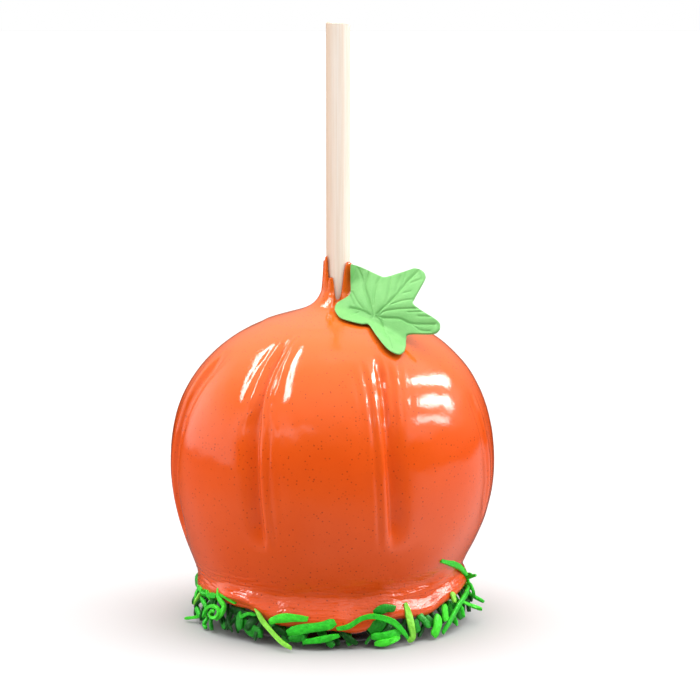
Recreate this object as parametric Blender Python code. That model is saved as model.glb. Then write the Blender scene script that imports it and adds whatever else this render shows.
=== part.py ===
"""Caramel apple dressed as a pumpkin: a candy-coated apple on a round wooden stick.

Pieces: the coated apple (one solid: the coat's pressed pumpkin grooves, the foot where the coat
ran down and set, the collar that climbs the stick, and the shredded coconut pressed into the
foot), the stick, and a sugar-paste leaf that leans on the shoulder beside the stick.

Frame: +Z up along the stick, the front faces -Y. The origin is the centre of the flat base.
Azimuths are in degrees round Z, 0 at the front and 90 at +X. Lengths are in millimetres until
they become mesh points.
"""

import math
import random

import bmesh
import bpy
import numpy as np

MM = 0.001
GAP = 0.3  # clearance between separate pieces

# Coated apple: a superellipse turned about Z.
BODY_RADIUS = 43.4
WAIST_Z = 41.5
DOME_RISE, DOME_POWER = 40.9, 2.25
BELLY_DROP, BELLY_POWER = 44.0, 1.98
SHOULDER_SHIFT, SHIFT_START_Z = 0.6, 58.0  # how far the dome leans towards +X, and from where

# Pressed grooves that make the pumpkin's ribs.
GROOVE_LEVELS = (71.0, 47.0, 25.0)  # the heights where each groove's azimuth is given
GROOVES = (  # azimuth high, at the waist and low down, depth, height of lower and upper end
    (-116.0, -119.0, -121.0, 1.1, 24.0, 77.0),
    (-68.0, -73.5, -77.5, 0.9, 20.0, 74.0),
    (-29.0, -26.5, -25.0, 1.5, 24.0, 79.0),
    (21.0, 20.2, 22.8, 1.5, 25.0, 75.0),
    (67.0, 70.0, 73.0, 0.4, 26.0, 64.0),
    (110.0, 113.0, 114.0, 1.2, 24.0, 76.0),
    (157.0, 155.0, 153.0, 1.4, 23.0, 78.0),
    (199.0, 202.0, 204.0, 1.3, 25.0, 75.0),
)
VALLEY_HALF = 1.3
LIP_AT, LIP_HALF, LIP_SHARE = 2.7, 1.2, 0.38  # the raised lip on either side of the valley
LOBE_HALF, LOBE_SHARE = 8.0, 0.45  # the broad dip between two ribs
FADE_LOW, FADE_HIGH = 9.0, 6.0  # the lengths over which a groove's lower and upper ends fade

# Foot: the set pool of coating round the base, its lower edge held off the ground by coconut.
FLAT_RADIUS = 29.5
WALL_RADIUS = 32.4
FOOT_RADIUS = 36.9
FOOT_WAVES = ((0.8, 2, 0.0), (0.3, 3, 60.0), (0.25, 5, 20.0))  # height, waves round and phase
FOOT_EDGE = (  # azimuth and height of the foot's lower edge
    (-150.0, 5.6), (-105.0, 6.6), (-63.0, 8.0), (-37.0, 8.2), (-20.0, 5.2), (0.0, 4.6),
    (9.0, 3.7), (27.0, 6.2), (43.0, 5.6), (57.0, 7.6), (76.0, 8.8), (110.0, 7.0), (165.0, 4.8),
)
LIP_DEPTH, LIP_DROP = 2.6, 1.7  # how far the rounded lip turns in, and how far down
FLANK_DROP, FLANK_REACH, FLANK_POWER = 3.4, 6.0, 1.7  # the foot narrows upwards along this curve
FLANK_BLEND = 1.6
LEFT_FULLNESS, FULLNESS_Z, FULLNESS_DECAY = 0.38, 28.9, 7.4  # a slight thickening low at the left

# Stick and the collar that climbs it.
STICK_RADIUS = 3.175
STICK_X = 1.6
STICK_BOTTOM_Z = 18.0
STICK_LENGTH = 140.0
STICK_CHAMFER = 0.35
STICK_SIDES = 32
BORE_RADIUS = STICK_RADIUS + GAP
CROWN_START_Z = 79.0
CONE_RISE, CONE_REACH = 3.9, 1.7
SWELL_RISE, SWELL_REACH = 1.0, 8.0
COLLAR_BASE_RADIUS = 4.65
COLLAR_TOP_RADIUS = BORE_RADIUS + 0.45
COLLAR_TAPER = 0.6
COLLAR_LOW_Z = 85.6
COLLAR_EDGE = 0.9  # the cone stays at least this far below the collar's edge
STICK_CENTRED_RADIUS = 12.0  # crown rings within this radius are centred on the stick
FINGERS = (  # azimuth, half width in degrees and rise over the collar, of each finger of coating
    (-76.0, 36.0, 10.2),
    (-58.0, 10.0, 11.4),
    (-31.0, 16.0, 5.8),
    (50.0, 33.0, 9.8),
    (150.0, 26.0, 6.5),
    (208.0, 24.0, 9.0),
)

# Sampling of the coat: columns within each rib, and rows up its side.
RIB_SHARES = (0.0, 0.036, 0.078, 0.15, 0.3, 0.5, 0.7, 0.85, 0.922, 0.964)
FLANK_SHARES = (0.1, 0.26, 0.44, 0.64, 0.84)  # rows from the foot's lip up to the first level
SIDE_LEVELS = (17.4, 21.5, 26.5, 32.0, 38.0, 44.0, 50.0, 56.0, 61.5, 66.5, 70.5, 74.0, 76.8,
               CROWN_START_Z)
CROWN_RADII = (15.5, 11.5, 8.6, 6.6, 5.3)

# Shredded coconut: the shreds that show at the front, then a ring of others all round.
KEY_SHREDS = (  # width, then the azimuth, radius and height of each point along the shred
    (1.3, ((-31, 37.9, 9.7), (-27.5, 38.4, 6.9), (-23.5, 39.2, 4.8), (-18.5, 40.5, 2.5), (-14, 42, 1.4))),
    (2.2, ((-24.5, 38.2, 6.6), (-21, 38.5, 7.7), (-16, 38.5, 8.3), (-9, 38.0, 8.1))),
    (2.6, ((-17, 38.5, 4.3), (-11, 38.6, 5.6), (-3, 38.4, 6.5), (1.5, 38.0, 7.5))),
    (2.1, ((-16, 38.8, 2.8), (-10, 38.6, 3.6))),
    (1.7, ((-11, 38.5, 2.2), (-4.5, 38.8, 3.0), (3, 38.2, 4.0))),
    (1.5, ((2, 38.0, 5.7), (6.5, 38.3, 6.3), (11, 38.6, 8.2), (15.5, 38.8, 8.8), (20, 38.9, 8.0),
           (24, 39.0, 6.7), (27.5, 39.2, 4.2), (30, 39.0, 2.1))),
    (2.4, ((16.5, 37.6, 9.3), (21, 37.9, 10.3), (25.5, 37.6, 9.9))),
    (3.4, ((15, 37.2, 4.3), (21, 37.4, 6.9))),
    (2.1, ((15.5, 37.9, 3.2), (21, 38.8, 3.5), (27, 38.8, 3.9))),
    (1.8, ((16.5, 38.4, 1.4), (21.5, 39.4, 1.9), (26.5, 38.9, 2.8))),
    (1.8, ((31.5, 36.1, 10.6), (32, 37.1, 7.8), (32, 38.6, 4.8), (32.5, 38.6, 2.0), (30.5, 38.2, 1.1))),
    (2.8, ((47, 37.6, 6.1), (45, 38.6, 3.5), (42.5, 38.8, 1.1))),
    (2.0, ((51.5, 37.3, 8.1), (50.5, 38.3, 4.0))),
    (2.8, ((59.5, 36.5, 10.3), (58.5, 37.6, 7.7))),
    (1.8, ((48, 37.9, 20.4), (59, 36.6, 18.0), (73, 36.0, 14.4), (80, 36.8, 10.2), (73, 37.4, 8.4),
           (60.5, 38.2, 6.9), (53.5, 38.6, 4.2), (48.5, 38.4, 1.1))),
    (0.9, ((77, 36.3, 11.4), (75, 39.5, 12.8))),
    (1.4, ((78.5, 37.0, 9.9), (75.5, 38.6, 8.5), (78, 38.6, 6.2))),
    (0.9, ((78.5, 37.3, 6.9), (76.5, 41.5, 5.3))),
    (1.0, ((66.5, 37.6, 6.7), (72, 39.2, 4.8), (73, 41.5, 3.9))),
    (2.2, ((-78, 36.8, 8.2), (-76.5, 37.4, 4.6), (-68.5, 37.6, 2.4))),
    (0.9, ((-72, 36.1, 8.7), (-73, 37.3, 6.8), (-74, 38.2, 4.7))),
    (1.5, ((-68, 37.4, 7.5), (-60.5, 37.9, 6.0), (-63.5, 38.0, 3.2))),
    (0.9, ((-71, 37.4, 1.9), (-75.5, 40.5, 0.9))),
    (0.9, ((-61, 37.4, 3.0), (-61, 38.0, 4.9), (-56.5, 38.4, 7.1), (-51.5, 38.7, 7.8),
           (-49, 38.8, 7.0), (-50.5, 38.8, 5.3), (-53.5, 38.8, 4.6), (-55, 38.9, 5.5),
           (-53, 39.0, 6.6), (-51.5, 39.1, 6.4))),
    (1.1, ((-60, 37.6, 3.4), (-62.5, 38.0, 1.3), (-59.5, 38.2, 0.8))),
    (1.6, ((-53.5, 36.8, 12.2), (-51.5, 37.4, 9.9), (-47, 38.2, 8.5), (-48, 38.4, 6.6),
           (-52, 38.2, 4.3))),
    (0.9, ((-51, 37.2, 11.0), (-41.5, 37.4, 9.8))),
    (1.5, ((-62.5, 36.9, 9.1), (-54, 37.2, 10.1))),
    (1.2, ((-59.5, 35.2, 8.2), (-58, 37.4, 3.4), (-55.5, 38.0, 0.8))),
    (2.2, ((-53, 36.0, 4.1), (-49, 36.6, 2.1))),
    (2.2, ((-47, 35.9, 7.3), (-35, 36.2, 6.9))),
    (1.0, ((-42, 35.0, 8.5), (-39.5, 36.6, 6.4), (-35, 37.3, 7.7), (-31.5, 37.2, 7.6))),
    (3.2, ((-39.5, 36.0, 5.0), (-35, 36.8, 3.5), (-28.5, 37.4, 2.9))),
    (2.0, ((-24, 37.6, 4.9), (-17.5, 38.0, 3.9))),
    (1.6, ((4, 36.9, 4.9), (6, 37.5, 3.2), (10, 37.8, 1.6))),
    (1.7, ((35.5, 37.0, 5.9), (36, 37.8, 2.8))),
    (2.1, ((38, 36.2, 6.9), (39.5, 37.0, 5.6), (42, 37.8, 3.5))),
    (1.3, ((59, 35.2, 8.0), (58, 37.6, 4.2), (58, 38.6, 1.7))),
    (1.3, ((63, 38.0, 6.2), (62, 39.2, 3.5))),
)
SHRED_THICKNESS = 0.8
SHRED_SEED = 11
RING_SHREDS, RING_FROM, RING_TURN = 32, 84.0, 194.0  # where the ring starts, and how far it goes
RING_SEGMENTS = 3
RING_LENGTHS, RING_WIDTHS = (6.0, 12.0), (1.2, 2.6)
ALONG_SHARE, HANGING_SHARE = 0.5, 0.3  # the rest of the ring's shreds lie low against the wall
HUNG_SHREDS, HUNG_FROM, HUNG_TURN = 24, -80.0, 160.0  # those stuck under the lip at the front
HUNG_START = 34.6  # radius where they leave the lip's underside
HUNG_REACHES, HUNG_WIDTHS = (36.4, 37.9), (1.4, 2.4)
GROUND_CLEAR = 0.1

# Sugar-paste leaf, in its own plane: x towards the middle lobe's tip, y to the left lobes.
LEAF_THICKNESS = 0.9
LEAF_CENTRE = (10.7, -12.7, 82.9)
LEAF_AXIS = (0.633, 0.253, 0.732)
LEAF_NORMAL = (-0.324, -0.772, 0.546)
LEAF_RIM = (  # from the stem's notch round the lowest lobe, the right and middle ones to the left
    (-2.9, -0.6), (-4.0, -4.2), (-5.3, -9.3), (-5.0, -12.7), (-3.5, -13.6), (-1.8, -12.9),
    (-0.4, -11.8), (1.2, -11.6), (4.8, -16.4), (6.3, -17.2), (7.5, -16.8), (8.4, -15.2),
    (8.2, -9.2), (8.5, -6.7), (10.0, -6.0), (15.4, -4.4), (16.7, -3.5), (17.3, -1.9),
    (16.8, 0.2), (15.3, 1.4), (11.5, 4.0), (10.1, 5.2), (9.6, 7.3), (8.9, 13.3), (8.4, 15.2),
    (7.8, 16.1), (4.8, 13.4), (1.8, 10.5), (0.4, 10.1), (-2.7, 11.2), (-4.4, 10.6),
    (-5.3, 8.9), (-5.5, 6.7), (-3.9, 1.5),
)
LEAF_VEINS = ((-114.0, 12.0), (-70.0, 16.0), (-8.0, 16.0), (60.0, 15.0), (112.0, 10.0))
LEAF_RIM_POINTS = 76
LEAF_RINGS = (0.25, 0.5, 0.74, 0.92)
LEAF_EDGE_INSET = 0.35
LEAF_VEIN_DEPTH, LEAF_VEIN_HALF = 0.4, 7.0
LEAF_WAVE = 0.5
LEAF_WAVE_X, LEAF_WAVE_PHASE, LEAF_WAVE_Y = 0.28, 0.6, 0.22  # the wave's turns, radians per mm
LEAF_CURL = 0.004  # the rim falls by this times the square of its distance
LEAF_DRAPE = (0.0, -0.99, 0.13)  # the way the leaf bends where it meets the coat
LEAF_DRAPE_BLEND, LEAF_DRAPE_STEPS = 0.5, 20
CURVE_STEPS = 24  # points between two knots of a smooth closed curve


def smooth_max(a, b, blend):
    """The larger of two radii, with a fillet of about `blend` where they cross."""
    return 0.5 * (a + b + math.sqrt((a - b) ** 2 + blend**2))


def smooth_step(x, low, high):
    """0 below low, 1 above high, and a smooth ramp between them."""
    t = min(1.0, max(0.0, (x - low) / (high - low)))
    return t * t * (3.0 - 2.0 * t)


def bump(angle, centre, half_width, power=2):
    """1 at the centre angle, falling to 0 about two half widths away; steeper at a high power."""
    apart = (angle - centre + 180.0) % 360.0 - 180.0
    return math.exp(-((abs(apart) / half_width) ** power))


def wave(azimuth, turns, phase):
    """A cosine with this many waves round the apple."""
    return math.cos(math.radians(turns * azimuth + phase))


# Coated apple


def body_radius(z):
    """Radius of the apple's superellipse at a height."""
    if z >= WAIST_Z:
        reach, power = (z - WAIST_Z) / DOME_RISE, DOME_POWER
    else:
        reach, power = (WAIST_Z - z) / BELLY_DROP, BELLY_POWER
    return BODY_RADIUS * max(0.0, 1.0 - min(1.0, reach) ** power) ** (1.0 / power)


def dome_height(radius):
    """Height of the dome at a distance from its axis."""
    reach = min(1.0, radius / BODY_RADIUS)
    return WAIST_Z + DOME_RISE * (1.0 - reach**DOME_POWER) ** (1.0 / DOME_POWER)


def body_normal(z):
    """Outward direction of the superellipse at a height, as its radial and vertical shares."""
    rise, power = (DOME_RISE, DOME_POWER) if z >= WAIST_Z else (BELLY_DROP, BELLY_POWER)
    along_r = (body_radius(z) / BODY_RADIUS) ** (power - 1.0) / BODY_RADIUS
    along_z = math.copysign((abs(z - WAIST_Z) / rise) ** (power - 1.0) / rise, z - WAIST_Z)
    length = math.hypot(along_r, along_z)
    return along_r / length, along_z / length


def groove_azimuth(index, z):
    """Azimuth of a groove at a height, on the parabola through its three given azimuths."""
    high, waist, low = GROOVES[index % len(GROOVES)][:3]
    zh, zw, zl = GROOVE_LEVELS
    z = min(zh, max(zl, z))
    turned = 360.0 * (index // len(GROOVES))
    return (
        turned
        + high * (z - zw) * (z - zl) / ((zh - zw) * (zh - zl))
        + waist * (z - zh) * (z - zl) / ((zw - zh) * (zw - zl))
        + low * (z - zh) * (z - zw) / ((zl - zh) * (zl - zw))
    )


def groove_relief(azimuth, z):
    """Height of the coat over the plain dome: a pressed valley, raised lips and a broad dip."""
    relief = 0.0
    for index, (_, _, _, depth, low_end, high_end) in enumerate(GROOVES):
        apart = (azimuth - groove_azimuth(index, z) + 180.0) % 360.0 - 180.0
        x = math.radians(apart) * body_radius(z)
        valley = math.exp(-((x / VALLEY_HALF) ** 2))
        lips = math.exp(-(((abs(x) - LIP_AT) / LIP_HALF) ** 2))
        lobe = math.exp(-((x / LOBE_HALF) ** 2))
        pressed = smooth_step(z, low_end, low_end + FADE_LOW) * (
            1.0 - smooth_step(z, high_end - FADE_HIGH, high_end)
        )
        relief += depth * pressed * (LIP_SHARE * lips - valley - LOBE_SHARE * lobe)
    return relief


def foot_radius(azimuth):
    """How far the foot spreads: widest at the front and back, with a slow uneven edge."""
    return FOOT_RADIUS + sum(height * wave(azimuth, *turns) for height, *turns in FOOT_WAVES)


def foot_edge(azimuth):
    """Height of the foot's lower edge, eased between the azimuths where it is given."""
    knots = FOOT_EDGE + ((FOOT_EDGE[0][0] + 360.0, FOOT_EDGE[0][1]),)
    azimuth = (azimuth - knots[0][0]) % 360.0 + knots[0][0]
    for (start, low), (end, high) in zip(knots, knots[1:]):
        if azimuth <= end:
            return low + (high - low) * smooth_step(azimuth, start, end)
    return knots[-1][1]


def lip_height(azimuth):
    """Height of the foot's widest line."""
    return foot_edge(azimuth) + LIP_DROP


def side_radius(azimuth, z):
    """Radius of the coat from the foot's lip up to the shoulder, without the grooves."""
    fuller = 0.5 - 0.5 * math.sin(math.radians(azimuth))
    body = body_radius(z) + fuller**2 * LEFT_FULLNESS * math.exp((FULLNESS_Z - z) / FULLNESS_DECAY)
    above = max(0.0, z - lip_height(azimuth))
    foot = foot_radius(azimuth) - FLANK_DROP * (above / FLANK_REACH) ** FLANK_POWER
    return smooth_max(body, foot, FLANK_BLEND)


def shoulder_shift(z):
    """How far the dome's sections lie towards +X at a height."""
    return SHOULDER_SHIFT * smooth_step(z, SHIFT_START_Z, CROWN_START_Z)


def finger_top(azimuth):
    """Height that the coating reaches up the stick."""
    rises = [rise * bump(azimuth, centre, half, 4) for centre, half, rise in FINGERS]
    return COLLAR_LOW_Z + max(rises)


def crown_height(radius, share=1.0):
    """Height of the dome, its swell and its hollow cone at a distance from the stick's axis."""
    out = radius - COLLAR_BASE_RADIUS
    cone = CONE_RISE * math.exp(-out / CONE_REACH)
    swell = SWELL_RISE * math.exp(-((out / SWELL_REACH) ** 2))
    return dome_height(radius) + swell + share * cone


def on_axis(azimuth, radius, z, axis_x=0.0):
    """The point at a radius and azimuth about the vertical line through axis_x."""
    a = math.radians(azimuth)
    return (axis_x + radius * math.sin(a), -radius * math.cos(a), z)


def underside_rows():
    """The coat's underside, from the flat base up a recessed wall and round the foot's lip."""

    def make_wall(radius, share):
        return lambda azimuth: on_axis(azimuth, radius, share * foot_edge(azimuth))

    def make_lip(turn):
        def lip(azimuth):
            radius = side_radius(azimuth, lip_height(azimuth)) - LIP_DEPTH * (1.0 - math.cos(turn))
            return on_axis(azimuth, radius, lip_height(azimuth) - LIP_DROP * math.sin(turn))

        return lip

    walls = [make_wall(FLAT_RADIUS, 0.0), make_wall(0.5 * (FLAT_RADIUS + WALL_RADIUS), 0.3),
             make_wall(WALL_RADIUS, 0.85)]
    lips = [make_lip(math.radians(turn)) for turn in (90.0, 60.0, 30.0, 0.0)]
    return [(0.0, place) for place in walls + lips]


def side_rows():
    """The coat's side, from above the lip to the start of the crown."""

    def side(azimuth, z):
        out, up = body_normal(z)
        relief = groove_relief(azimuth, z)
        radius = side_radius(azimuth, z) + relief * out
        return on_axis(azimuth, radius, z + relief * up, shoulder_shift(z))

    def make_flank(share):
        def flank(azimuth):
            lip = lip_height(azimuth)
            return side(azimuth, lip + (SIDE_LEVELS[0] - lip) * share)

        return flank

    def make_side(level):
        return lambda azimuth: side(azimuth, level)

    flanks = [(SIDE_LEVELS[0], make_flank(share)) for share in FLANK_SHARES]
    return flanks + [(level, make_side(level)) for level in SIDE_LEVELS]


def crown_rows():
    """The crown's hollow cone round the stick, the collar's fingers and their top edge."""

    def crown_z(azimuth, radius):
        room = finger_top(azimuth) - COLLAR_EDGE - crown_height(COLLAR_BASE_RADIUS, 0.0)
        return crown_height(radius, min(1.0, max(0.0, room / CONE_RISE)))

    def make_crown(radius):
        centred = radius < STICK_CENTRED_RADIUS
        shift = STICK_X if centred else 0.5 * (STICK_X + SHOULDER_SHIFT)
        return lambda azimuth: on_axis(azimuth, radius, crown_z(azimuth, radius), shift)

    def make_finger(share):
        def finger(azimuth):
            base = crown_z(azimuth, COLLAR_BASE_RADIUS)
            z = base + (finger_top(azimuth) - base) * share
            taper = share**COLLAR_TAPER
            radius = COLLAR_BASE_RADIUS + (COLLAR_TOP_RADIUS - COLLAR_BASE_RADIUS) * taper
            return on_axis(azimuth, radius, z, STICK_X)

        return finger

    crowns = [(CROWN_START_Z, make_crown(radius)) for radius in CROWN_RADII]
    fingers = [(CROWN_START_Z, make_finger(share)) for share in (0.0, 0.45, 0.9)]
    return crowns + fingers


def bore_rows():
    """The hole that the stick stands in, from the fingers' top edge down."""

    def edge(azimuth):
        return on_axis(azimuth, BORE_RADIUS, finger_top(azimuth), STICK_X)

    def make_wall(z):
        return lambda azimuth: on_axis(azimuth, BORE_RADIUS, z, STICK_X)

    levels = (CROWN_START_Z, STICK_BOTTOM_Z - GAP)
    return [(CROWN_START_Z, edge)] + [(CROWN_START_Z, make_wall(z)) for z in levels]


def coat_mesh():
    """The coated apple as one closed grid of columns and rows, without the coconut."""
    rows = underside_rows() + side_rows() + crown_rows() + bore_rows()
    columns = [(index, share) for index in range(len(GROOVES)) for share in RIB_SHARES]
    points = [(0.0, 0.0, 0.0)]
    for level, place in rows:
        for index, share in columns:
            start, end = groove_azimuth(index, level), groove_azimuth(index + 1, level)
            points.append(place(start + (end - start) * share))
    points.append((STICK_X, 0.0, STICK_BOTTOM_Z - GAP))
    count, last = len(columns), len(points) - 1
    faces = []
    for c in range(count):
        after = (c + 1) % count
        faces.append((0, 1 + after, 1 + c))
        for r in range(len(rows) - 1):
            low, high = 1 + r * count, 1 + (r + 1) * count
            faces.append((low + c, low + after, high + after, high + c))
        top = 1 + (len(rows) - 1) * count
        faces.append((top + c, top + after, last))
    return points, faces


# Shredded coconut


def rim_radius(azimuth, z):
    """Radius of a shred that lies on the foot's rounded lip."""
    lip = lip_height(azimuth)
    drop = min(1.0, max(0.0, (lip - z) / LIP_DROP))
    return side_radius(azimuth, max(z, lip)) - LIP_DEPTH * (1.0 - math.sqrt(1.0 - drop**2))


def hanging_radius(azimuth, z):
    """Radius of a shred that hangs from the foot's lip."""
    lip = lip_height(azimuth)
    return side_radius(azimuth, max(z, lip)) - 0.12 * max(0.0, lip - z)


def wall_radius(azimuth, z):
    """Radius of a shred that lies low against the recessed wall."""
    share = min(1.0, z / (0.85 * foot_edge(azimuth)))
    return FLAT_RADIUS + (WALL_RADIUS - FLAT_RADIUS) * share + 0.3


def shred_mesh(path, width, roll):
    """A flat strip along the path: four corners at each point, narrower at its ends."""
    points, faces = [], []
    last = len(path) - 1
    for i, centre in enumerate(path):
        along = path[min(i + 1, last)] - path[max(i - 1, 0)]
        along = along / np.linalg.norm(along)
        outward = np.array((centre[0], centre[1], 0.0))
        outward = outward - along * outward.dot(along)
        outward = outward / np.linalg.norm(outward)
        across = np.cross(along, outward)
        turn = math.radians(roll * (0.5 + i / last))
        flat = across * math.cos(turn) + outward * math.sin(turn)
        thick = np.cross(flat, along)
        taper = 0.7 + 0.3 * math.sin(math.pi * (0.12 + 0.76 * i / last))
        for side, up in ((-1, -1), (1, -1), (1, 1), (-1, 1)):
            points.append(
                centre + flat * (side * width * taper / 2) + thick * (up * SHRED_THICKNESS / 2)
            )
    for i in range(last):
        for k in range(4):
            a, b = 4 * i + k, 4 * i + (k + 1) % 4
            faces.append((a, b, b + 4, a + 4))
    faces.append((3, 2, 1, 0))
    faces.append(tuple(4 * last + k for k in range(4)))
    return points, faces


def ring_shred(rng, azimuth):
    """Path and width of one shred: along the lip, hanging from it, or low against the wall."""
    lip = lip_height(azimuth)
    kind, side = rng.random(), rng.choice((-1, 1))
    length, width = rng.uniform(*RING_LENGTHS), rng.uniform(*RING_WIDTHS)
    if kind < ALONG_SHARE:
        rest, slope, middle = rim_radius, rng.uniform(-0.35, 0.35), lip + rng.uniform(-1.3, 0.7)
    elif kind < ALONG_SHARE + HANGING_SHARE:
        rest, slope = hanging_radius, rng.uniform(-1.1, -0.6)
        middle = lip + rng.uniform(-0.4, 0.6) + 0.5 * length * math.sin(slope)
    else:
        rest, slope, middle = wall_radius, rng.uniform(-0.15, 0.15), rng.uniform(1.2, 2.4)
    half_turn = side * math.degrees(0.5 * length * math.cos(slope) / FOOT_RADIUS)
    half_rise = 0.5 * length * math.sin(slope)
    lowest = 0.5 * width + GROUND_CLEAR
    lifts = (rng.uniform(-0.1, 0.3), rng.uniform(-0.1, 1.2))
    path = []
    for i in range(RING_SEGMENTS + 1):
        t = i / RING_SEGMENTS
        around = azimuth + half_turn * (2.0 * t - 1.0)
        z = max(lowest, middle + half_rise * (2.0 * t - 1.0))
        radius = rest(around, z) + lifts[0] * (1.0 - t) ** 2 + lifts[1] * t**2
        path.append(np.array(on_axis(around, radius, z)))
    return path, width


def hung_shred(rng, azimuth):
    """Path and width of one shred stuck under the foot's lip, its free end lower and further out."""
    top = foot_edge(azimuth) + 0.5
    turn, reach = rng.uniform(-8.0, 8.0), rng.uniform(*HUNG_REACHES)
    low = max(1.0, top * rng.uniform(0.15, 0.5))
    path = []
    for i in range(RING_SEGMENTS + 1):
        t = i / RING_SEGMENTS
        radius = HUNG_START + (reach - HUNG_START) * math.sin(0.5 * math.pi * t)
        path.append(np.array(on_axis(azimuth + turn * t, radius, top + (low - top) * t)))
    return path, rng.uniform(*HUNG_WIDTHS)


def shred_plan():
    """Path, width and roll of every shred."""
    rng = random.Random(SHRED_SEED)
    plan = []
    for width, points in KEY_SHREDS:
        plan.append(([np.array(on_axis(*point)) for point in points], width, rng.uniform(-15.0, 15.0)))
    for i in range(RING_SHREDS):
        azimuth = RING_FROM + RING_TURN * (i + rng.uniform(-0.35, 0.35)) / RING_SHREDS
        path, width = ring_shred(rng, azimuth)
        plan.append((path, width, rng.uniform(-35.0, 35.0)))
    for i in range(HUNG_SHREDS):
        azimuth = HUNG_FROM + HUNG_TURN * (i + rng.uniform(-0.35, 0.35)) / HUNG_SHREDS
        path, width = hung_shred(rng, azimuth)
        plan.append((path, width, rng.uniform(-20.0, 20.0)))
    return plan


# Leaf


def closed_curve(knots, count):
    """`count` points spread evenly along a smooth closed curve through the knots."""
    fine = []
    total = len(knots)
    for i in range(total):
        p0, p1, p2, p3 = (knots[(i + k) % total] for k in (-1, 0, 1, 2))
        for step in range(CURVE_STEPS):
            t = step / CURVE_STEPS
            fine.append(
                0.5 * (2 * p1 + (p2 - p0) * t + (2 * p0 - 5 * p1 + 4 * p2 - p3) * t**2
                       + (3 * p1 - p0 - 3 * p2 + p3) * t**3)
            )
    fine = np.array(fine + fine[:1])
    reach = np.concatenate([[0.0], np.cumsum(np.linalg.norm(np.diff(fine, axis=0), axis=1))])
    wanted = np.arange(count) * reach[-1] / count
    return np.stack([np.interp(wanted, reach, fine[:, k]) for k in (0, 1)], axis=1)


def leaf_relief(x, y):
    """Height of the leaf's upper face: its slow wave and its pressed main veins."""
    distance, direction = math.hypot(x, y), math.degrees(math.atan2(y, x))
    height = LEAF_WAVE * math.sin(LEAF_WAVE_X * x + LEAF_WAVE_PHASE) * math.cos(LEAF_WAVE_Y * y)
    height -= LEAF_CURL * distance**2
    for centre, length in LEAF_VEINS:
        along = smooth_step(distance, 0.0, 2.0) * (1.0 - smooth_step(distance, 0.7 * length, length))
        height -= LEAF_VEIN_DEPTH * along * bump(direction, centre, LEAF_VEIN_HALF)
    return height


def coat_distance(point):
    """About how far a point is from the dome, from the crown's cone and from the collar."""
    x, y, z = point
    reach = math.hypot(x - shoulder_shift(z), y)
    out = ((reach / BODY_RADIUS) ** DOME_POWER + abs((z - WAIST_Z) / DOME_RISE) ** DOME_POWER) ** (
        1.0 / DOME_POWER
    )
    dome = math.hypot(reach, z - WAIST_Z) * (1.0 - 1.0 / out)
    reach = math.hypot(x - STICK_X, y)
    slope = (crown_height(reach) - crown_height(reach + 0.1)) / 0.1
    crown = (z - crown_height(reach)) / math.hypot(1.0, slope)
    return min(dome, crown, reach - COLLAR_BASE_RADIUS)


def drape(under):
    """How far the leaf bends out so that a point of its underside clears the coat."""
    ahead = np.array(LEAF_DRAPE)
    moved = 0.0
    for _ in range(LEAF_DRAPE_STEPS):
        moved += GAP - coat_distance(under + ahead * moved)
    return smooth_max(0.0, moved, LEAF_DRAPE_BLEND)


def leaf_mesh():
    """The leaf as a wavy slab: rings of points on both faces, split alike, and a round rim."""
    axis, normal = np.array(LEAF_AXIS), np.array(LEAF_NORMAL)
    normal = normal / np.linalg.norm(normal)
    axis = axis - normal * axis.dot(normal)
    axis = axis / np.linalg.norm(axis)
    left = np.cross(normal, axis)
    centre = np.array(LEAF_CENTRE)
    rim = closed_curve(np.array(LEAF_RIM), LEAF_RIM_POINTS)
    inner = rim * (1.0 - LEAF_EDGE_INSET / np.linalg.norm(rim, axis=1))[:, None]

    def place(x, y, height):
        flat = centre + axis * x + left * y
        under = flat + normal * (leaf_relief(x, y) - LEAF_THICKNESS)
        return flat + normal * height + np.array(LEAF_DRAPE) * drape(under)

    def face(drop):
        points = [place(0.0, 0.0, leaf_relief(0.0, 0.0) - drop)]
        for share in LEAF_RINGS:
            points += [place(x * share, y * share, leaf_relief(x * share, y * share) - drop)
                       for x, y in rim]
        return points + [place(x, y, leaf_relief(x, y) - drop) for x, y in inner]

    top, bottom = face(0.0), face(LEAF_THICKNESS)
    edge = [place(x, y, leaf_relief(x, y) - LEAF_THICKNESS / 2) for x, y in rim]
    points = top + bottom + edge
    rings, n, lower = len(LEAF_RINGS) + 1, LEAF_RIM_POINTS, len(top)
    faces = []
    for c in range(n):
        after = (c + 1) % n
        triangles = [(0, 1 + c, 1 + after)]
        for r in range(rings - 1):
            a, b = 1 + r * n, 1 + (r + 1) * n
            triangles += [(a + c, b + c, b + after), (a + c, b + after, a + after)]
        faces += triangles
        faces += [tuple(lower + v for v in reversed(t)) for t in triangles]
        upper_edge, lower_edge = 1 + (rings - 1) * n, lower + 1 + (rings - 1) * n
        middle = 2 * lower
        faces.append((upper_edge + c, middle + c, middle + after, upper_edge + after))
        faces.append((middle + c, lower_edge + c, lower_edge + after, middle + after))
    return points, faces


# Scene


def material(name, colour, roughness):
    """A plain finish of one colour."""
    made = bpy.data.materials.new(name)
    made.use_nodes = True
    shader = made.node_tree.nodes["Principled BSDF"]
    shader.inputs["Base Color"].default_value = (*colour, 1.0)
    shader.inputs["Roughness"].default_value = roughness
    shader.inputs["Metallic"].default_value = 0.0
    return made


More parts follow.
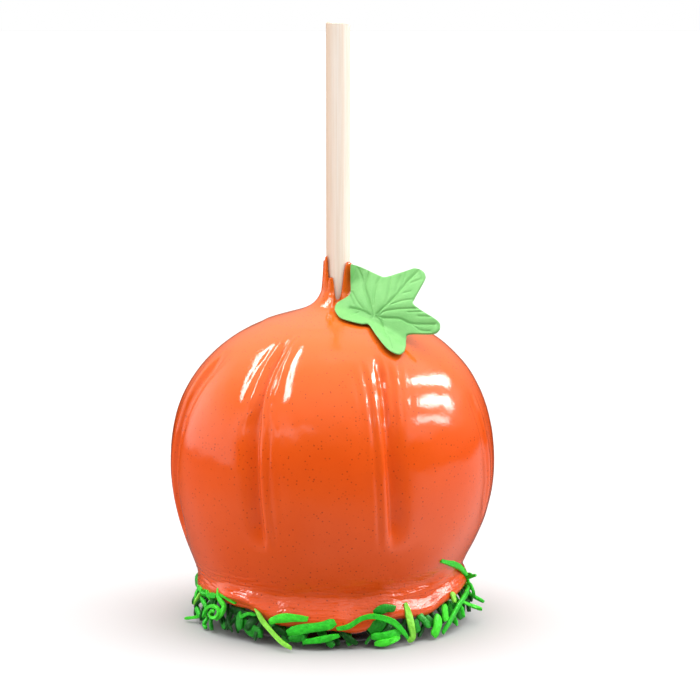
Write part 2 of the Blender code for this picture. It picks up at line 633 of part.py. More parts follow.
def add_mesh(name, points, faces, finish, collection=None):
    """A mesh object from points in millimetres, its faces turned outwards."""
    mesh = bpy.data.meshes.new(name)
    mesh.from_pydata([tuple(float(v) * MM for v in p) for p in points], [], faces)
    work = bmesh.new()
    work.from_mesh(mesh)
    bmesh.ops.recalc_face_normals(work, faces=work.faces)
    work.to_mesh(mesh)
    work.free()
    mesh.materials.append(finish)
    made = bpy.data.objects.new(name, mesh)
    (collection or bpy.context.scene.collection).objects.link(made)
    return made


def keep_largest_shell(obj):
    """Splits a union's faces into triangles and drops its loose scraps and sealed hollows."""
    work = bmesh.new()
    work.from_mesh(obj.data)
    bmesh.ops.triangulate(work, faces=work.faces)
    left = set(work.faces)
    shells = []
    while left:
        shell, front = [], [left.pop()]
        while front:
            face = front.pop()
            shell.append(face)
            sides = [edge.link_faces for edge in face.edges if len(edge.link_faces) == 2]
            for other in (near for pair in sides for near in pair):
                if other in left:
                    left.remove(other)
                    front.append(other)
        shells.append(shell)
    largest = max(shells, key=len)
    bmesh.ops.delete(work, geom=[f for s in shells if s is not largest for f in s], context="FACES")
    work.to_mesh(obj.data)
    work.free()


def build_coated_apple():
    """The coat's grid with every shred joined to it by one union."""
    orange = material("orange_coating", (0.80, 0.14, 0.02), 0.18)
    green = material("green_coconut", (0.03, 0.45, 0.04), 0.5)
    coat = add_mesh("coated_apple", *coat_mesh(), orange)
    shreds = bpy.data.collections.new("coconut")
    bpy.context.scene.collection.children.link(shreds)
    for i, (path, width, roll) in enumerate(shred_plan()):
        add_mesh(f"shred_{i:02d}", *shred_mesh(path, width, roll), green, shreds)
    union = coat.modifiers.new("coconut", "BOOLEAN")
    union.operation = "UNION"
    union.solver = "EXACT"
    union.operand_type = "COLLECTION"
    union.collection = shreds
    bpy.context.view_layer.objects.active = coat
    bpy.ops.object.modifier_apply(modifier=union.name)
    for shred in list(shreds.objects):
        bpy.data.objects.remove(shred)
    bpy.data.collections.remove(shreds)
    keep_largest_shell(coat)
    coat.data.shade_smooth()
    coat.data.set_sharp_from_angle(angle=math.radians(40.0))


def build_stick():
    """A round dowel with eased ends, standing in the coat's bore."""
    top = STICK_LENGTH
    outline = (
        (STICK_RADIUS - STICK_CHAMFER, 0.0),
        (STICK_RADIUS, STICK_CHAMFER),
        (STICK_RADIUS, top - STICK_CHAMFER),
        (STICK_RADIUS - STICK_CHAMFER, top),
    )
    points = [on_axis(360.0 * c / STICK_SIDES, r, z) for r, z in outline for c in range(STICK_SIDES)]
    faces = [tuple(reversed(range(STICK_SIDES)))]
    for row in range(len(outline) - 1):
        for c in range(STICK_SIDES):
            a, b = row * STICK_SIDES + c, row * STICK_SIDES + (c + 1) % STICK_SIDES
            faces.append((a, b, b + STICK_SIDES, a + STICK_SIDES))
    faces.append(tuple(range((len(outline) - 1) * STICK_SIDES, len(outline) * STICK_SIDES)))
    stick = add_mesh("stick", points, faces, material("pale_wood", (0.86, 0.74, 0.58), 0.6))
    stick.location = (STICK_X * MM, 0.0, STICK_BOTTOM_Z * MM)
    stick.data.shade_smooth()
    stick.data.set_sharp_from_angle(angle=math.radians(30.0))


def build_leaf():
    """The sugar-paste leaf."""
    leaf = add_mesh("leaf", *leaf_mesh(), material("green_sugar_paste", (0.32, 0.78, 0.30), 0.55))
    leaf.data.shade_smooth()
    leaf.data.set_sharp_from_angle(angle=math.radians(60.0))


def main():
    for old in list(bpy.data.objects):
        bpy.data.objects.remove(old)
    build_coated_apple()
    build_stick()
    build_leaf()


main()
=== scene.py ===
"""Looks of the candy-coated apple: its coat, coconut, leaf and stick, lit as in a studio.

Lengths are in millimetres until they become mesh points. Azimuths are in degrees round Z, 0 at
the front (-Y) and 90 at +X. The coat, the coconut and the leaf follow the solids' own rules,
sampled more finely, with the small folds and veins that the solids leave out.
"""

import math
import random

import bpy
import numpy as np
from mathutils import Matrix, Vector


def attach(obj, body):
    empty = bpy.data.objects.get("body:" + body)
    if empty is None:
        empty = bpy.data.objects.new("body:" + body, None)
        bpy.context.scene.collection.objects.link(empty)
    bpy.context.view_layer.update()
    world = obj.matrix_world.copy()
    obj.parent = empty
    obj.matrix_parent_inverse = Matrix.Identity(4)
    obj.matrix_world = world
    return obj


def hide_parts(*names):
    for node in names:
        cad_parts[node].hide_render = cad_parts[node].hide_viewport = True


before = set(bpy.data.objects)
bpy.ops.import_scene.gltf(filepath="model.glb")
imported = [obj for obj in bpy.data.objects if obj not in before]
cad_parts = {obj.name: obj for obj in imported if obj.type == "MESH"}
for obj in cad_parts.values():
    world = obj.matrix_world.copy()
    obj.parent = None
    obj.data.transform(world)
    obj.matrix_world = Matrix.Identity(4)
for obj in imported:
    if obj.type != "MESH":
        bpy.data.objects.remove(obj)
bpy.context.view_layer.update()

MM = 0.001
GAP = 0.3  # clearance round the stick and under the leaf

# The coat's driving sizes, as in the solids.
BODY_RADIUS, WAIST_Z = 43.4, 41.5
DOME_RISE, DOME_POWER = 40.9, 2.25
BELLY_DROP, BELLY_POWER = 44.0, 1.98
SHOULDER_SHIFT, SHIFT_START_Z = 0.6, 58.0
GROOVE_LEVELS = (71.0, 47.0, 25.0)
GROOVES = (  # azimuth high, at the waist and low down, depth, lower and upper end, lip's side
    (-116.0, -119.0, -121.0, 1.1, 24.0, 77.0, 1),
    (-68.0, -73.5, -77.5, 0.9, 20.0, 74.0, -1),
    (-29.0, -26.5, -25.0, 1.5, 24.0, 79.0, 1),
    (21.0, 20.2, 22.8, 1.5, 25.0, 75.0, -1),
    (67.0, 70.0, 73.0, 0.4, 26.0, 64.0, 1),
    (110.0, 113.0, 114.0, 1.2, 24.0, 76.0, -1),
    (157.0, 155.0, 153.0, 1.4, 23.0, 78.0, 1),
    (199.0, 202.0, 204.0, 1.3, 25.0, 75.0, -1),
)
FADE_LOW, FADE_HIGH = 9.0, 6.0
LOBE_HALF, LOBE_SHARE = 8.0, 0.45
FLAT_RADIUS, WALL_RADIUS, WALL_TOP, FOOT_RADIUS = 29.5, 32.4, 0.85, 36.9
WALL_PROFILE = (  # radius and share of the foot edge's height, from the base up the wall
    (12.0, 0.0), (24.0, 0.0), (FLAT_RADIUS, 0.0), (30.4, 0.12), (31.6, 0.5),
    (WALL_RADIUS, WALL_TOP),
)
FOOT_WAVES = ((0.8, 2, 0.0), (0.3, 3, 60.0), (0.25, 5, 20.0))
FOOT_EDGE = (
    (-150.0, 5.6), (-105.0, 6.6), (-63.0, 8.0), (-37.0, 8.2), (-20.0, 5.2), (0.0, 4.6),
    (9.0, 3.7), (27.0, 6.2), (43.0, 5.6), (57.0, 7.6), (76.0, 8.8), (110.0, 7.0), (165.0, 4.8),
)
LIP_DEPTH, LIP_DROP = 2.6, 1.7
FLANK_DROP, FLANK_REACH, FLANK_POWER, FLANK_BLEND = 3.4, 6.0, 1.7, 1.6
FLANK_TOP_Z = 17.4
LEFT_FULLNESS, FULLNESS_Z, FULLNESS_DECAY = 0.38, 28.9, 7.4
STICK_X, STICK_BOTTOM_Z = 1.6, 18.0
STICK_RADIUS = 3.175
BORE_RADIUS = STICK_RADIUS + GAP
CROWN_START_Z = 79.0
CROWN_RADIUS, CENTRED_RADIUS = 18.6, 9.0
CONE_RISE, CONE_REACH = 3.9, 1.7
SWELL_RISE, SWELL_REACH = 1.0, 8.0
COLLAR_BASE_RADIUS, COLLAR_TOP_RADIUS = 4.65, BORE_RADIUS + 0.45
COLLAR_LOW_Z, COLLAR_EDGE, COLLAR_TAPER = 85.6, 0.9, 0.6
FINGER_POWER, FINGER_END = 4, 0.97
FINGERS = (  # azimuth, half width in degrees and rise over the collar
    (-76.0, 36.0, 10.2), (-58.0, 10.0, 11.4), (-31.0, 16.0, 5.8), (50.0, 33.0, 9.8),
    (150.0, 26.0, 6.5), (208.0, 24.0, 9.0),
)

# Coconut: tone, width, then the azimuth, radius and height of each point along the shred.
KEY_SHREDS = (
    (4, 1.3, ((-31, 37.9, 9.7), (-27.5, 38.4, 6.9), (-23.5, 39.2, 4.8), (-18.5, 40.5, 2.5),
        (-14, 42, 1.4))),
    (3, 2.2, ((-24.5, 38.2, 6.6), (-21, 38.5, 7.7), (-16, 38.5, 8.3), (-9, 38, 8.1))),
    (2, 2.6, ((-17, 38.5, 4.3), (-11, 38.6, 5.6), (-3, 38.4, 6.5), (1.5, 38, 7.5))),
    (1, 2.1, ((-16, 38.8, 2.8), (-10, 38.6, 3.6))),
    (2, 1.7, ((-11, 38.5, 2.2), (-4.5, 38.8, 3), (3, 38.2, 4))),
    (2, 1.5, ((2, 38, 5.7), (6.5, 38.3, 6.3), (11, 38.6, 8.2), (15.5, 38.8, 8.8),
        (20, 38.9, 8), (24, 39, 6.7), (27.5, 39.2, 4.2), (30, 39, 2.1))),
    (1, 2.4, ((16.5, 37.6, 9.3), (21, 37.9, 10.3), (25.5, 37.6, 9.9))),
    (1, 3.4, ((15, 37.2, 4.3), (21, 37.4, 6.9))),
    (2, 2.1, ((15.5, 37.9, 3.2), (21, 38.8, 3.5), (27, 38.8, 3.9))),
    (3, 1.8, ((16.5, 38.4, 1.4), (21.5, 39.4, 1.9), (26.5, 38.9, 2.8))),
    (4, 1.8, ((31.5, 36.1, 10.6), (32, 37.1, 7.8), (32, 38.6, 4.8), (32.5, 38.6, 2),
        (30.5, 38.2, 1.1))),
    (3, 2.8, ((47, 37.6, 6.1), (45, 38.6, 3.5), (42.5, 38.8, 1.1))),
    (3, 2, ((51.5, 37.3, 8.1), (50.5, 38.3, 4))),
    (4, 2.8, ((59.5, 36.5, 10.3), (58.5, 37.6, 7.7))),
    (2, 1.8, ((48, 37.9, 20.4), (59, 36.6, 18), (73, 36, 14.4), (80, 36.8, 10.2),
        (73, 37.4, 8.4), (60.5, 38.2, 6.9), (53.5, 38.6, 4.2), (48.5, 38.4, 1.1))),
    (2, 0.9, ((77, 36.3, 11.4), (75, 39.5, 12.8))),
    (2, 1.4, ((78.5, 37, 9.9), (75.5, 38.6, 8.5), (78, 38.6, 6.2))),
    (2, 0.9, ((78.5, 37.3, 6.9), (76.5, 41.5, 5.3))),
    (3, 1, ((66.5, 37.6, 6.7), (72, 39.2, 4.8), (73, 41.5, 3.9))),
    (2, 2.2, ((-78, 36.8, 8.2), (-76.5, 37.4, 4.6), (-68.5, 37.6, 2.4))),
    (4, 0.9, ((-72, 36.1, 8.7), (-73, 37.3, 6.8), (-74, 38.2, 4.7))),
    (2, 1.5, ((-68, 37.4, 7.5), (-60.5, 37.9, 6), (-63.5, 38, 3.2))),
    (3, 0.9, ((-71, 37.4, 1.9), (-75.5, 40.5, 0.9))),
    (3, 0.9, ((-61, 37.4, 3), (-61, 38, 4.9), (-56.5, 38.4, 7.1), (-51.5, 38.7, 7.8),
        (-49, 38.8, 7), (-50.5, 38.8, 5.3), (-53.5, 38.8, 4.6), (-55, 38.9, 5.5),
        (-53, 39, 6.6), (-51.5, 39.1, 6.4))),
    (2, 1.1, ((-60, 37.6, 3.4), (-62.5, 38, 1.3), (-59.5, 38.2, 0.8))),
    (3, 1.6, ((-53.5, 36.8, 12.2), (-51.5, 37.4, 9.9), (-47, 38.2, 8.5), (-48, 38.4, 6.6),
        (-52, 38.2, 4.3))),
    (3, 0.9, ((-51, 37.2, 11), (-41.5, 37.4, 9.8))),
    (2, 1.5, ((-62.5, 36.9, 9.1), (-54, 37.2, 10.1))),
    (1, 1.2, ((-59.5, 35.2, 8.2), (-58, 37.4, 3.4), (-55.5, 38, 0.8))),
    (1, 2.2, ((-53, 36, 4.1), (-49, 36.6, 2.1))),
    (0, 2.2, ((-47, 35.9, 7.3), (-35, 36.2, 6.9))),
    (2, 1, ((-42, 35, 8.5), (-39.5, 36.6, 6.4), (-35, 37.3, 7.7), (-31.5, 37.2, 7.6))),
    (1, 3.2, ((-39.5, 36, 5), (-35, 36.8, 3.5), (-28.5, 37.4, 2.9))),
    (0, 2, ((-24, 37.6, 4.9), (-17.5, 38, 3.9))),
    (0, 1.6, ((4, 36.9, 4.9), (6, 37.5, 3.2), (10, 37.8, 1.6))),
    (1, 1.7, ((35.5, 37, 5.9), (36, 37.8, 2.8))),
    (1, 2.1, ((38, 36.2, 6.9), (39.5, 37, 5.6), (42, 37.8, 3.5))),
    (2, 1.3, ((59, 35.2, 8), (58, 37.6, 4.2), (58, 38.6, 1.7))),
    (2, 1.3, ((63, 38, 6.2), (62, 39.2, 3.5))),
)
THICK, THIN, SHRED_SEED, SHRED_ROLL, SEGMENTS = 0.8, 0.7, 11, 15.0, 3
ALONG_SHARE, HANGING_SHARE = 0.5, 0.3
RESTS = {  # limits of the slope and height of shreds along the lip, hanging from it or low
    "along": ((-0.35, 0.35), (-1.3, 0.7)), "hanging": ((-1.1, -0.6), (-0.4, 0.6)),
    "low": ((-0.15, 0.15), (1.2, 2.4)),
}
HANGING_LEAN, WALL_CLEAR, GROUND_CLEAR = 0.12, 0.3, 0.1
START_LIFTS, END_LIFTS = (-0.1, 0.3), (-0.1, 1.2)
HUNG_START, HUNG_REACHES, HUNG_TURN = 34.6, (36.4, 37.9), 8.0
HUNG_BITE, HUNG_LOWEST, HUNG_LOWS = 0.5, 1.0, (0.15, 0.5)
SMALL_SEED, SMALL_SIZES, SMALL_ROLL = 5, ((2.5, 5.0), (0.8, 1.5)), 50.0
LEFT_CLUSTER, LEFT_SHREDS = (-76.0, -62.0), 6
# The darkest coconut tones are painted shade, given to the shreds that hang in shadow under the
# lip.
RING_TONES, PAINTED_SHADE_TONES, LEFT_TONES = (0, 1, 1, 2, 2, 2, 3, 3, 4), (0, 0, 1), (2, 3)

# Leaf, in its own plane.
LEAF_THICKNESS = 0.9
LEAF_CENTRE = (10.7, -12.7, 82.9)
LEAF_AXIS, LEAF_NORMAL = (0.633, 0.253, 0.732), (-0.324, -0.772, 0.546)
LEAF_RIM = (
    (-2.9, -0.6), (-4.0, -4.2), (-5.3, -9.3), (-5.0, -12.7), (-3.5, -13.6), (-1.8, -12.9),
    (-0.4, -11.8), (1.2, -11.6), (4.8, -16.4), (6.3, -17.2), (7.5, -16.8), (8.4, -15.2),
    (8.2, -9.2), (8.5, -6.7), (10.0, -6.0), (15.4, -4.4), (16.7, -3.5), (17.3, -1.9),
    (16.8, 0.2), (15.3, 1.4), (11.5, 4.0), (10.1, 5.2), (9.6, 7.3), (8.9, 13.3), (8.4, 15.2),
    (7.8, 16.1), (4.8, 13.4), (1.8, 10.5), (0.4, 10.1), (-2.7, 11.2), (-4.4, 10.6),
    (-5.3, 8.9), (-5.5, 6.7), (-3.9, 1.5),
)
LEAF_WAVE, LEAF_WAVE_X, LEAF_WAVE_PHASE, LEAF_WAVE_Y, LEAF_CURL = 0.5, 0.28, 0.6, 0.22, 0.004
LEAF_DRAPE, LEAF_DRAPE_BLEND, LEAF_DRAPE_STEPS = (0.0, -0.99, 0.13), 0.5, 20
SLOPE_STEP, CURVE_STEPS = 0.1, 24

# The photograph's camera, and the size of its frame in pixels.
CAMERA_AT = (4.7, -600.0, 160.0)
CAMERA_PITCH = 8.38
FOCAL_PIXELS, FRAME_PIXELS, SENSOR = 2280.0, 700.0, 36.0

# Studio: each panel's radiance, azimuth with half width and fade, then where it starts above the
# horizon and ends, each with its fade, all in degrees.
PANELS = (
    (1.00, 0.0, 180.0, 0.1, 35.0, 27.0, 90.0, 0.1),
    (0.30, 0.0, 180.0, 0.1, 76.0, 10.0, 90.0, 0.1),
    (0.50, 165.0, 85.0, 30.0, 5.0, 14.0, 90.0, 0.1),
    (1.2, -100.0, 37.0, 9.0, -3.0, 2.0, 27.0, 16.0),
    (0.60, -56.0, 14.0, 6.0, 16.0, 5.0, 36.0, 8.0),
    (1.05, 80.0, 42.0, 12.0, 14.0, 5.0, 58.0, 20.0),
    (0.20, 0.0, 180.0, 0.1, -67.0, 14.0, -14.0, 8.0),
    (0.75, 95.0, 48.0, 18.0, -46.0, 14.0, -5.0, 2.0),
    (0.18, 25.0, 50.0, 20.0, -62.0, 12.0, -26.0, 10.0),
    (0.22, -90.0, 45.0, 15.0, -34.0, 10.0, -5.0, 3.0),
)
STRIPS = (  # radiance, half width, and the directions of the two ends
    (26.0, 2.6, (87.0, 51.0), (122.0, 26.0)),
    (22.0, 3.0, (76.0, 38.0), (109.0, 20.0)),
    (12.0, 2.2, (64.0, 27.0), (98.0, 16.0)),
    (22.0, 4.2, (-135.0, 57.0), (-66.0, 47.5)),
    (2.0, 3.0, (-42.0, 27.0), (-34.0, 24.0)),
    (1.5, 2.5, (-29.0, 29.0), (-17.0, 29.0)),
)
SUNS = (  # azimuth, elevation, spread in degrees and strength: they light matt surfaces alone
    (0.0, 90.0, 60.0, 2.0),
    (-95.0, 15.0, 40.0, 0.6),
    (88.0, 15.0, 40.0, 0.45),
)
MATT_GAIN = 1.75  # how much brighter the room lights matt surfaces than it is in reflections


def ease(x, low, high):
    """0 below low, 1 above high, and a smooth ramp between them."""
    t = np.clip((x - low) / (high - low), 0.0, 1.0)
    return t * t * (3.0 - 2.0 * t)


def hill(x, centre, half):
    """A bell curve, 1 at its centre."""
    return np.exp(-(((x - centre) / half) ** 2))


def turned(azimuth, centre):
    """Degrees from centre to azimuth, between -180 and 180."""
    return (azimuth - centre + 180.0) % 360.0 - 180.0


def near(azimuth, centre, half):
    """A bell curve round the coat, 1 at the azimuth of its centre."""
    return hill(turned(azimuth, centre), 0.0, half)


def on_axis(azimuth, radius, z, axis_x=0.0):
    """Points at a radius and azimuth about the vertical line through axis_x."""
    a = np.radians(azimuth)
    return np.stack(np.broadcast_arrays(axis_x + radius * np.sin(a), -radius * np.cos(a), z), -1)


def add_mesh(name, points, faces, smooth=True):
    """A mesh object from points in millimetres."""
    mesh = bpy.data.meshes.new(name)
    mesh.from_pydata((np.asarray(points) * MM).tolist(), [], faces)
    mesh.validate()
    if smooth:
        mesh.shade_smooth()
    made = bpy.data.objects.new(name, mesh)
    bpy.context.scene.collection.objects.link(made)
    return made


def add_skin(name, first, rows, last, flipped=False):
    """A closed mesh from its first point, over rows of points, to its last point."""
    n = len(rows[0])
    points = np.concatenate([first, *rows, last])
    end = len(points) - 1
    faces = []
    for c in range(n):
        after = (c + 1) % n
        faces.append((0, 1 + after, 1 + c))
        for r in range(len(rows) - 1):
            a, b = 1 + r * n, 1 + (r + 1) * n
            faces.append((a + c, a + after, b + after, b + c))
        faces.append((end - n + c, end - n + after, end))
    if flipped:
        faces = [(face[0], *face[:0:-1]) for face in faces]
    return add_mesh(name, points, faces)


def bend(p0, p1, p2, p3, t):
    """Points of the smooth curve from p1 to p2, where p0 comes before them and p3 after."""
    return 0.5 * (2 * p1 + (p2 - p0) * t + (2 * p0 - 5 * p1 + 4 * p2 - p3) * t**2
                  + (3 * p1 - p0 - 3 * p2 + p3) * t**3)


def spline(knots, steps):
    """Points along a smooth curve through the knots."""
    knots = np.asarray(knots, float)
    padded = np.concatenate([[2 * knots[0] - knots[1]], knots, [2 * knots[-1] - knots[-2]]])
    t = (np.arange(steps) / steps)[:, None]
    parts = [bend(*four, t) for four in zip(padded, padded[1:], padded[2:], padded[3:])]
    return np.concatenate([*parts, knots[-1:]])


def closed_curve(knots, count):
    """`count` points spread evenly along a smooth closed curve through the knots."""
    before, following, beyond = (np.roll(knots, k, axis=0) for k in (1, -1, -2))
    t = (np.arange(CURVE_STEPS) / CURVE_STEPS)[:, None]
    parts = [bend(*four, t) for four in zip(before, knots, following, beyond)]
    fine = np.concatenate([*parts, parts[0][:1]])
    reach = np.concatenate([[0.0], np.cumsum(np.linalg.norm(np.diff(fine, axis=0), axis=1))])
    wanted = np.arange(count) * reach[-1] / count
    return np.stack([np.interp(wanted, reach, fine[:, k]) for k in (0, 1)], axis=1)


# Coat


def body_radius(z):
    """Radius of the apple's superellipse at a height."""
    rise = np.where(z >= WAIST_Z, DOME_RISE, BELLY_DROP)
    power = np.where(z >= WAIST_Z, DOME_POWER, BELLY_POWER)
    reach = np.minimum(1.0, np.abs(z - WAIST_Z) / rise)
    return BODY_RADIUS * (1.0 - reach**power) ** (1.0 / power)


def dome_height(radius):
    """Height of the dome at a distance from its axis."""
    reach = np.minimum(1.0, radius / BODY_RADIUS)
    return WAIST_Z + DOME_RISE * (1.0 - reach**DOME_POWER) ** (1.0 / DOME_POWER)


def body_normal(z):
    """Outward direction of the superellipse at a height, as its radial and vertical shares."""
    rise = np.where(z >= WAIST_Z, DOME_RISE, BELLY_DROP)
    power = np.where(z >= WAIST_Z, DOME_POWER, BELLY_POWER)
    along_r = (body_radius(z) / BODY_RADIUS) ** (power - 1.0) / BODY_RADIUS
    along_z = np.sign(z - WAIST_Z) * (np.abs(z - WAIST_Z) / rise) ** (power - 1.0) / rise
    length = np.hypot(along_r, along_z)
    return along_r / length, along_z / length


def groove_azimuth(index, z):
    """Azimuth of a groove at a height, on the parabola through its three given azimuths."""
    high, waist, low = GROOVES[index % len(GROOVES)][:3]
    zh, zw, zl = GROOVE_LEVELS
    z = np.clip(z, zl, zh)
    return (
        360.0 * (index // len(GROOVES))
        + high * (z - zw) * (z - zl) / ((zh - zw) * (zh - zl))
        + waist * (z - zh) * (z - zl) / ((zw - zh) * (zw - zl))
        + low * (z - zh) * (z - zw) / ((zl - zh) * (zl - zw))
    )


FOLD_SIDE = (-0.1, 1.5)  # where a fold's steep side starts and ends, in millimetres across it
FOLD_LIPS = ((0.44, 2.2, 1.15), (-0.1, 3.7, 0.45), (0.16, 4.8, 1.1))  # height, place, half width
FOLD_BOTTOM = (-0.2, 2.9)  # place and half width of its soft slope
RIDGES = {  # groove, then the degrees from it, height over its depth and half width of each ridge
    2: ((-8.4, -0.12, 1.4), (-5.0, 0.14, 1.0), (-1.4, 0.07, 0.6), (2.0, 0.10, 0.7),
        (5.4, 0.20, 1.1), (8.8, -0.08, 1.2)),
    3: ((-9.6, 0.07, 0.5), (-7.8, 0.08, 0.5), (-6.0, 0.08, 0.5), (-4.2, 0.08, 0.6)),
}
RIDGE_SWAYS = ((0.3, 0.45, 2.0), (0.12, 1.9, 3.0))  # degrees, rate up the coat, phase of each ridge
RIDGE_SWELL, SWELL_RATE = 0.3, 1.3
UPPER_START, UPPER_FULL = 22.0, 12.0  # how far below a groove's upper end its small folds set in
SQUEEZED, SQUEEZE, EASED = 2, 1.2, 0.4  # this groove is narrower and shallower in its upper half
WAVE_HEIGHT, WAVE_HALF, WAVE_RATE, WAVE_SPREAD, WAVE_PHASE = 0.16, 5.0, 2.2, 0.02, 0.9


def fold_profile(x):
    """A pressed fold across its length: soft slope, steep side, a lip and a faint second lip."""
    past = ease(x, *FOLD_SIDE)
    lips = sum(height * hill(x, at, half) for height, at, half in FOLD_LIPS)
    return past * lips - (1.0 - past) * hill(x, *FOLD_BOTTOM)


def ridge_relief(index, turn, z):
    """Narrow uneven ridges that run beside a groove's upper half."""
    relief = 0.0
    for k, (at, height, half) in enumerate(RIDGES.get(index, ())):
        sway = sum(far * np.sin(rate * z + phase * k) for far, rate, phase in RIDGE_SWAYS)
        swell = 1.0 + RIDGE_SWELL * np.sin(SWELL_RATE * z + k)
        relief = relief + height * swell * hill(turn, at + sway, half)
    return relief


def groove_relief(azimuth, z):
    """Height of the coat over the plain dome, with its folds."""
    relief = np.zeros_like(azimuth)
    for index, (_, _, _, depth, low_end, high_end, lip_side) in enumerate(GROOVES):
        turn = turned(azimuth, groove_azimuth(index, z)) * lip_side
        x = np.radians(turn) * body_radius(z)
        pressed = ease(z, low_end, low_end + FADE_LOW)
        pressed = pressed * (1.0 - ease(z, high_end - FADE_HIGH, high_end))
        high = ease(z, high_end - UPPER_START, high_end - UPPER_FULL)
        if index == SQUEEZED:
            fold = fold_profile(x * (1.0 + SQUEEZE * high)) * (1.0 - EASED * high)
        else:
            spread = 1.0 + WAVE_SPREAD * (high_end - z)
            waves = np.sin(WAVE_RATE * x * lip_side * spread + WAVE_PHASE * index)
            fold = fold_profile(x) + WAVE_HEIGHT * waves * hill(x, 0.0, WAVE_HALF) * high
        fold = fold - LOBE_SHARE * hill(x, 0.0, LOBE_HALF) + ridge_relief(index, turn, z) * high
        relief += depth * pressed * fold
    return relief


def foot_radius(azimuth):
    """How far the foot spreads."""
    waves = (h * np.cos(np.radians(turns * azimuth + phase)) for h, turns, phase in FOOT_WAVES)
    return FOOT_RADIUS + sum(waves)


def foot_edge(azimuth):
    """Height of the foot's lower edge, eased between the azimuths where it is given."""
    knots = FOOT_EDGE + ((FOOT_EDGE[0][0] + 360.0, FOOT_EDGE[0][1]),)
    azimuth = (np.asarray(azimuth) - knots[0][0]) % 360.0 + knots[0][0]
    height = np.full(azimuth.shape, knots[0][1])
    for (start, low), (end, high) in zip(knots, knots[1:]):
        height = height + (high - low) * ease(azimuth, start, end)
    return height


def lip_height(azimuth):
    """Height of the foot's widest line."""
    return foot_edge(azimuth) + LIP_DROP


def side_radius(azimuth, z):
    """Radius of the coat from the foot's lip up to the shoulder, without the grooves."""
    fuller = (0.5 - 0.5 * np.sin(np.radians(azimuth))) ** 2
    body = body_radius(z) + fuller * LEFT_FULLNESS * np.exp((FULLNESS_Z - z) / FULLNESS_DECAY)
    above = np.maximum(0.0, z - lip_height(azimuth))
    foot = foot_radius(azimuth) - FLANK_DROP * (above / FLANK_REACH) ** FLANK_POWER
    return 0.5 * (body + foot + np.sqrt((body - foot) ** 2 + FLANK_BLEND**2))


def finger_top(azimuth):
    """Height that the coating reaches up the stick."""
    rises = [rise * np.exp(-((np.abs(turned(azimuth, at)) / half) ** FINGER_POWER))
             for at, half, rise in FINGERS]
    return COLLAR_LOW_Z + np.max(rises, axis=0)


def crown_height(radius, share=1.0):
    """Height of the dome, its swell and its hollow cone at a distance from the stick's axis."""
    out = radius - COLLAR_BASE_RADIUS
    cone = CONE_RISE * np.exp(-out / CONE_REACH)
    return dome_height(radius) + SWELL_RISE * np.exp(-((out / SWELL_REACH) ** 2)) + share * cone


RIPPLES = (  # height, then turns, slant, phase and bends; then rate up the coat, phase, bends
    (0.08, 5, 0.09, 1.0, 0, 0.11, 0.4, 0),
    (0.04, 9, -0.13, 2.2, 0, 0.19, 0.5 * math.pi, 0),
    (0.022, 19, 0.31, 0.0, 3, 0.43, 1.3, 0),
    (0.012, 37, -0.4, 0.0, 0, 0.9, 0.0, 7),
)
RIPPLE_BEND, RIPPLE_DROP, RIPPLE_FADE = 2.0, 0.155, (12.0, 24.0)


def ripple(azimuth, z):
    """The unevenness of a dipped coat in millimetres, always inward."""
    a = np.radians(azimuth)
    relief = 0.0
    for height, turns, slant, phase, bends, rate, start, warps in RIPPLES:
        around = np.sin(turns * a + slant * z + phase + RIPPLE_BEND * np.sin(bends * a))
        along = np.sin(rate * z + start + RIPPLE_BEND * np.sin(warps * a))
        relief = relief + height * around * along
    return relief - RIPPLE_DROP


# Pairs named for a place hold its middle and half width, and spans where they start and end.
BEAD_HEIGHT, BEAD_LEAST, BEAD_LUMP, BEAD_LUMPS, BEAD_PLACE = 0.34, 0.35, 0.3, 23, (1.7, 1.0)
BEAD_MORE = ((0.65, -38.0, 30.0), (0.5, 44.0, 22.0))  # share, azimuth and half width
WRINKLE = 0.14
WRINKLES = (  # share, rate up the foot, lean, bend, its turns and phase, second bend, its turns
    (0.6, 4.3, 1.0, 2.4, 6, 1.0, 1.3, 17),
    (0.4, 7.1, 1.6, -3.0, 11, 2.0, 1.0, 29),
)
SLANT, SLANT_TURN, SLANT_SPAN = 9.0, 0.3, (15.0, 45.0)
PATCH_MEAN, PATCH_SWING, PATCH_SLANT, PATCH_PHASE = 0.55, 0.45, 0.7, 2.0
PATCH_TURNS, PATCH_SPLITS = 9, 14
DEEPER_AZIMUTH, DEEPER_PLACE = (-15.0, 16.0), (2.4, 1.6)
WRINKLE_SPAN, SMOOTH_SPAN = (0.4, 1.6), (5.0, 9.0)
BULGES = (  # azimuth, half width, height over the lip, half height, and how far out
    (-45.0, 8.0, 2.4, 1.2, 1.9), (-34.0, 9.0, 1.6, 1.3, 1.2),
    (42.0, 16.0, 3.0, 1.2, -0.8), (50.0, 24.0, 5.6, 1.5, 0.8),
)


def foot_bead(azimuth, above):
    """The foot's lumpy rolled bead, a little above its lip."""
    share = sum((more * near(azimuth, at, half) for more, at, half in BEAD_MORE), BEAD_LEAST)
    lumps = 1.0 + BEAD_LUMP * np.sin(BEAD_LUMPS * np.radians(azimuth))
    return BEAD_HEIGHT * share * lumps * hill(above, *BEAD_PLACE)


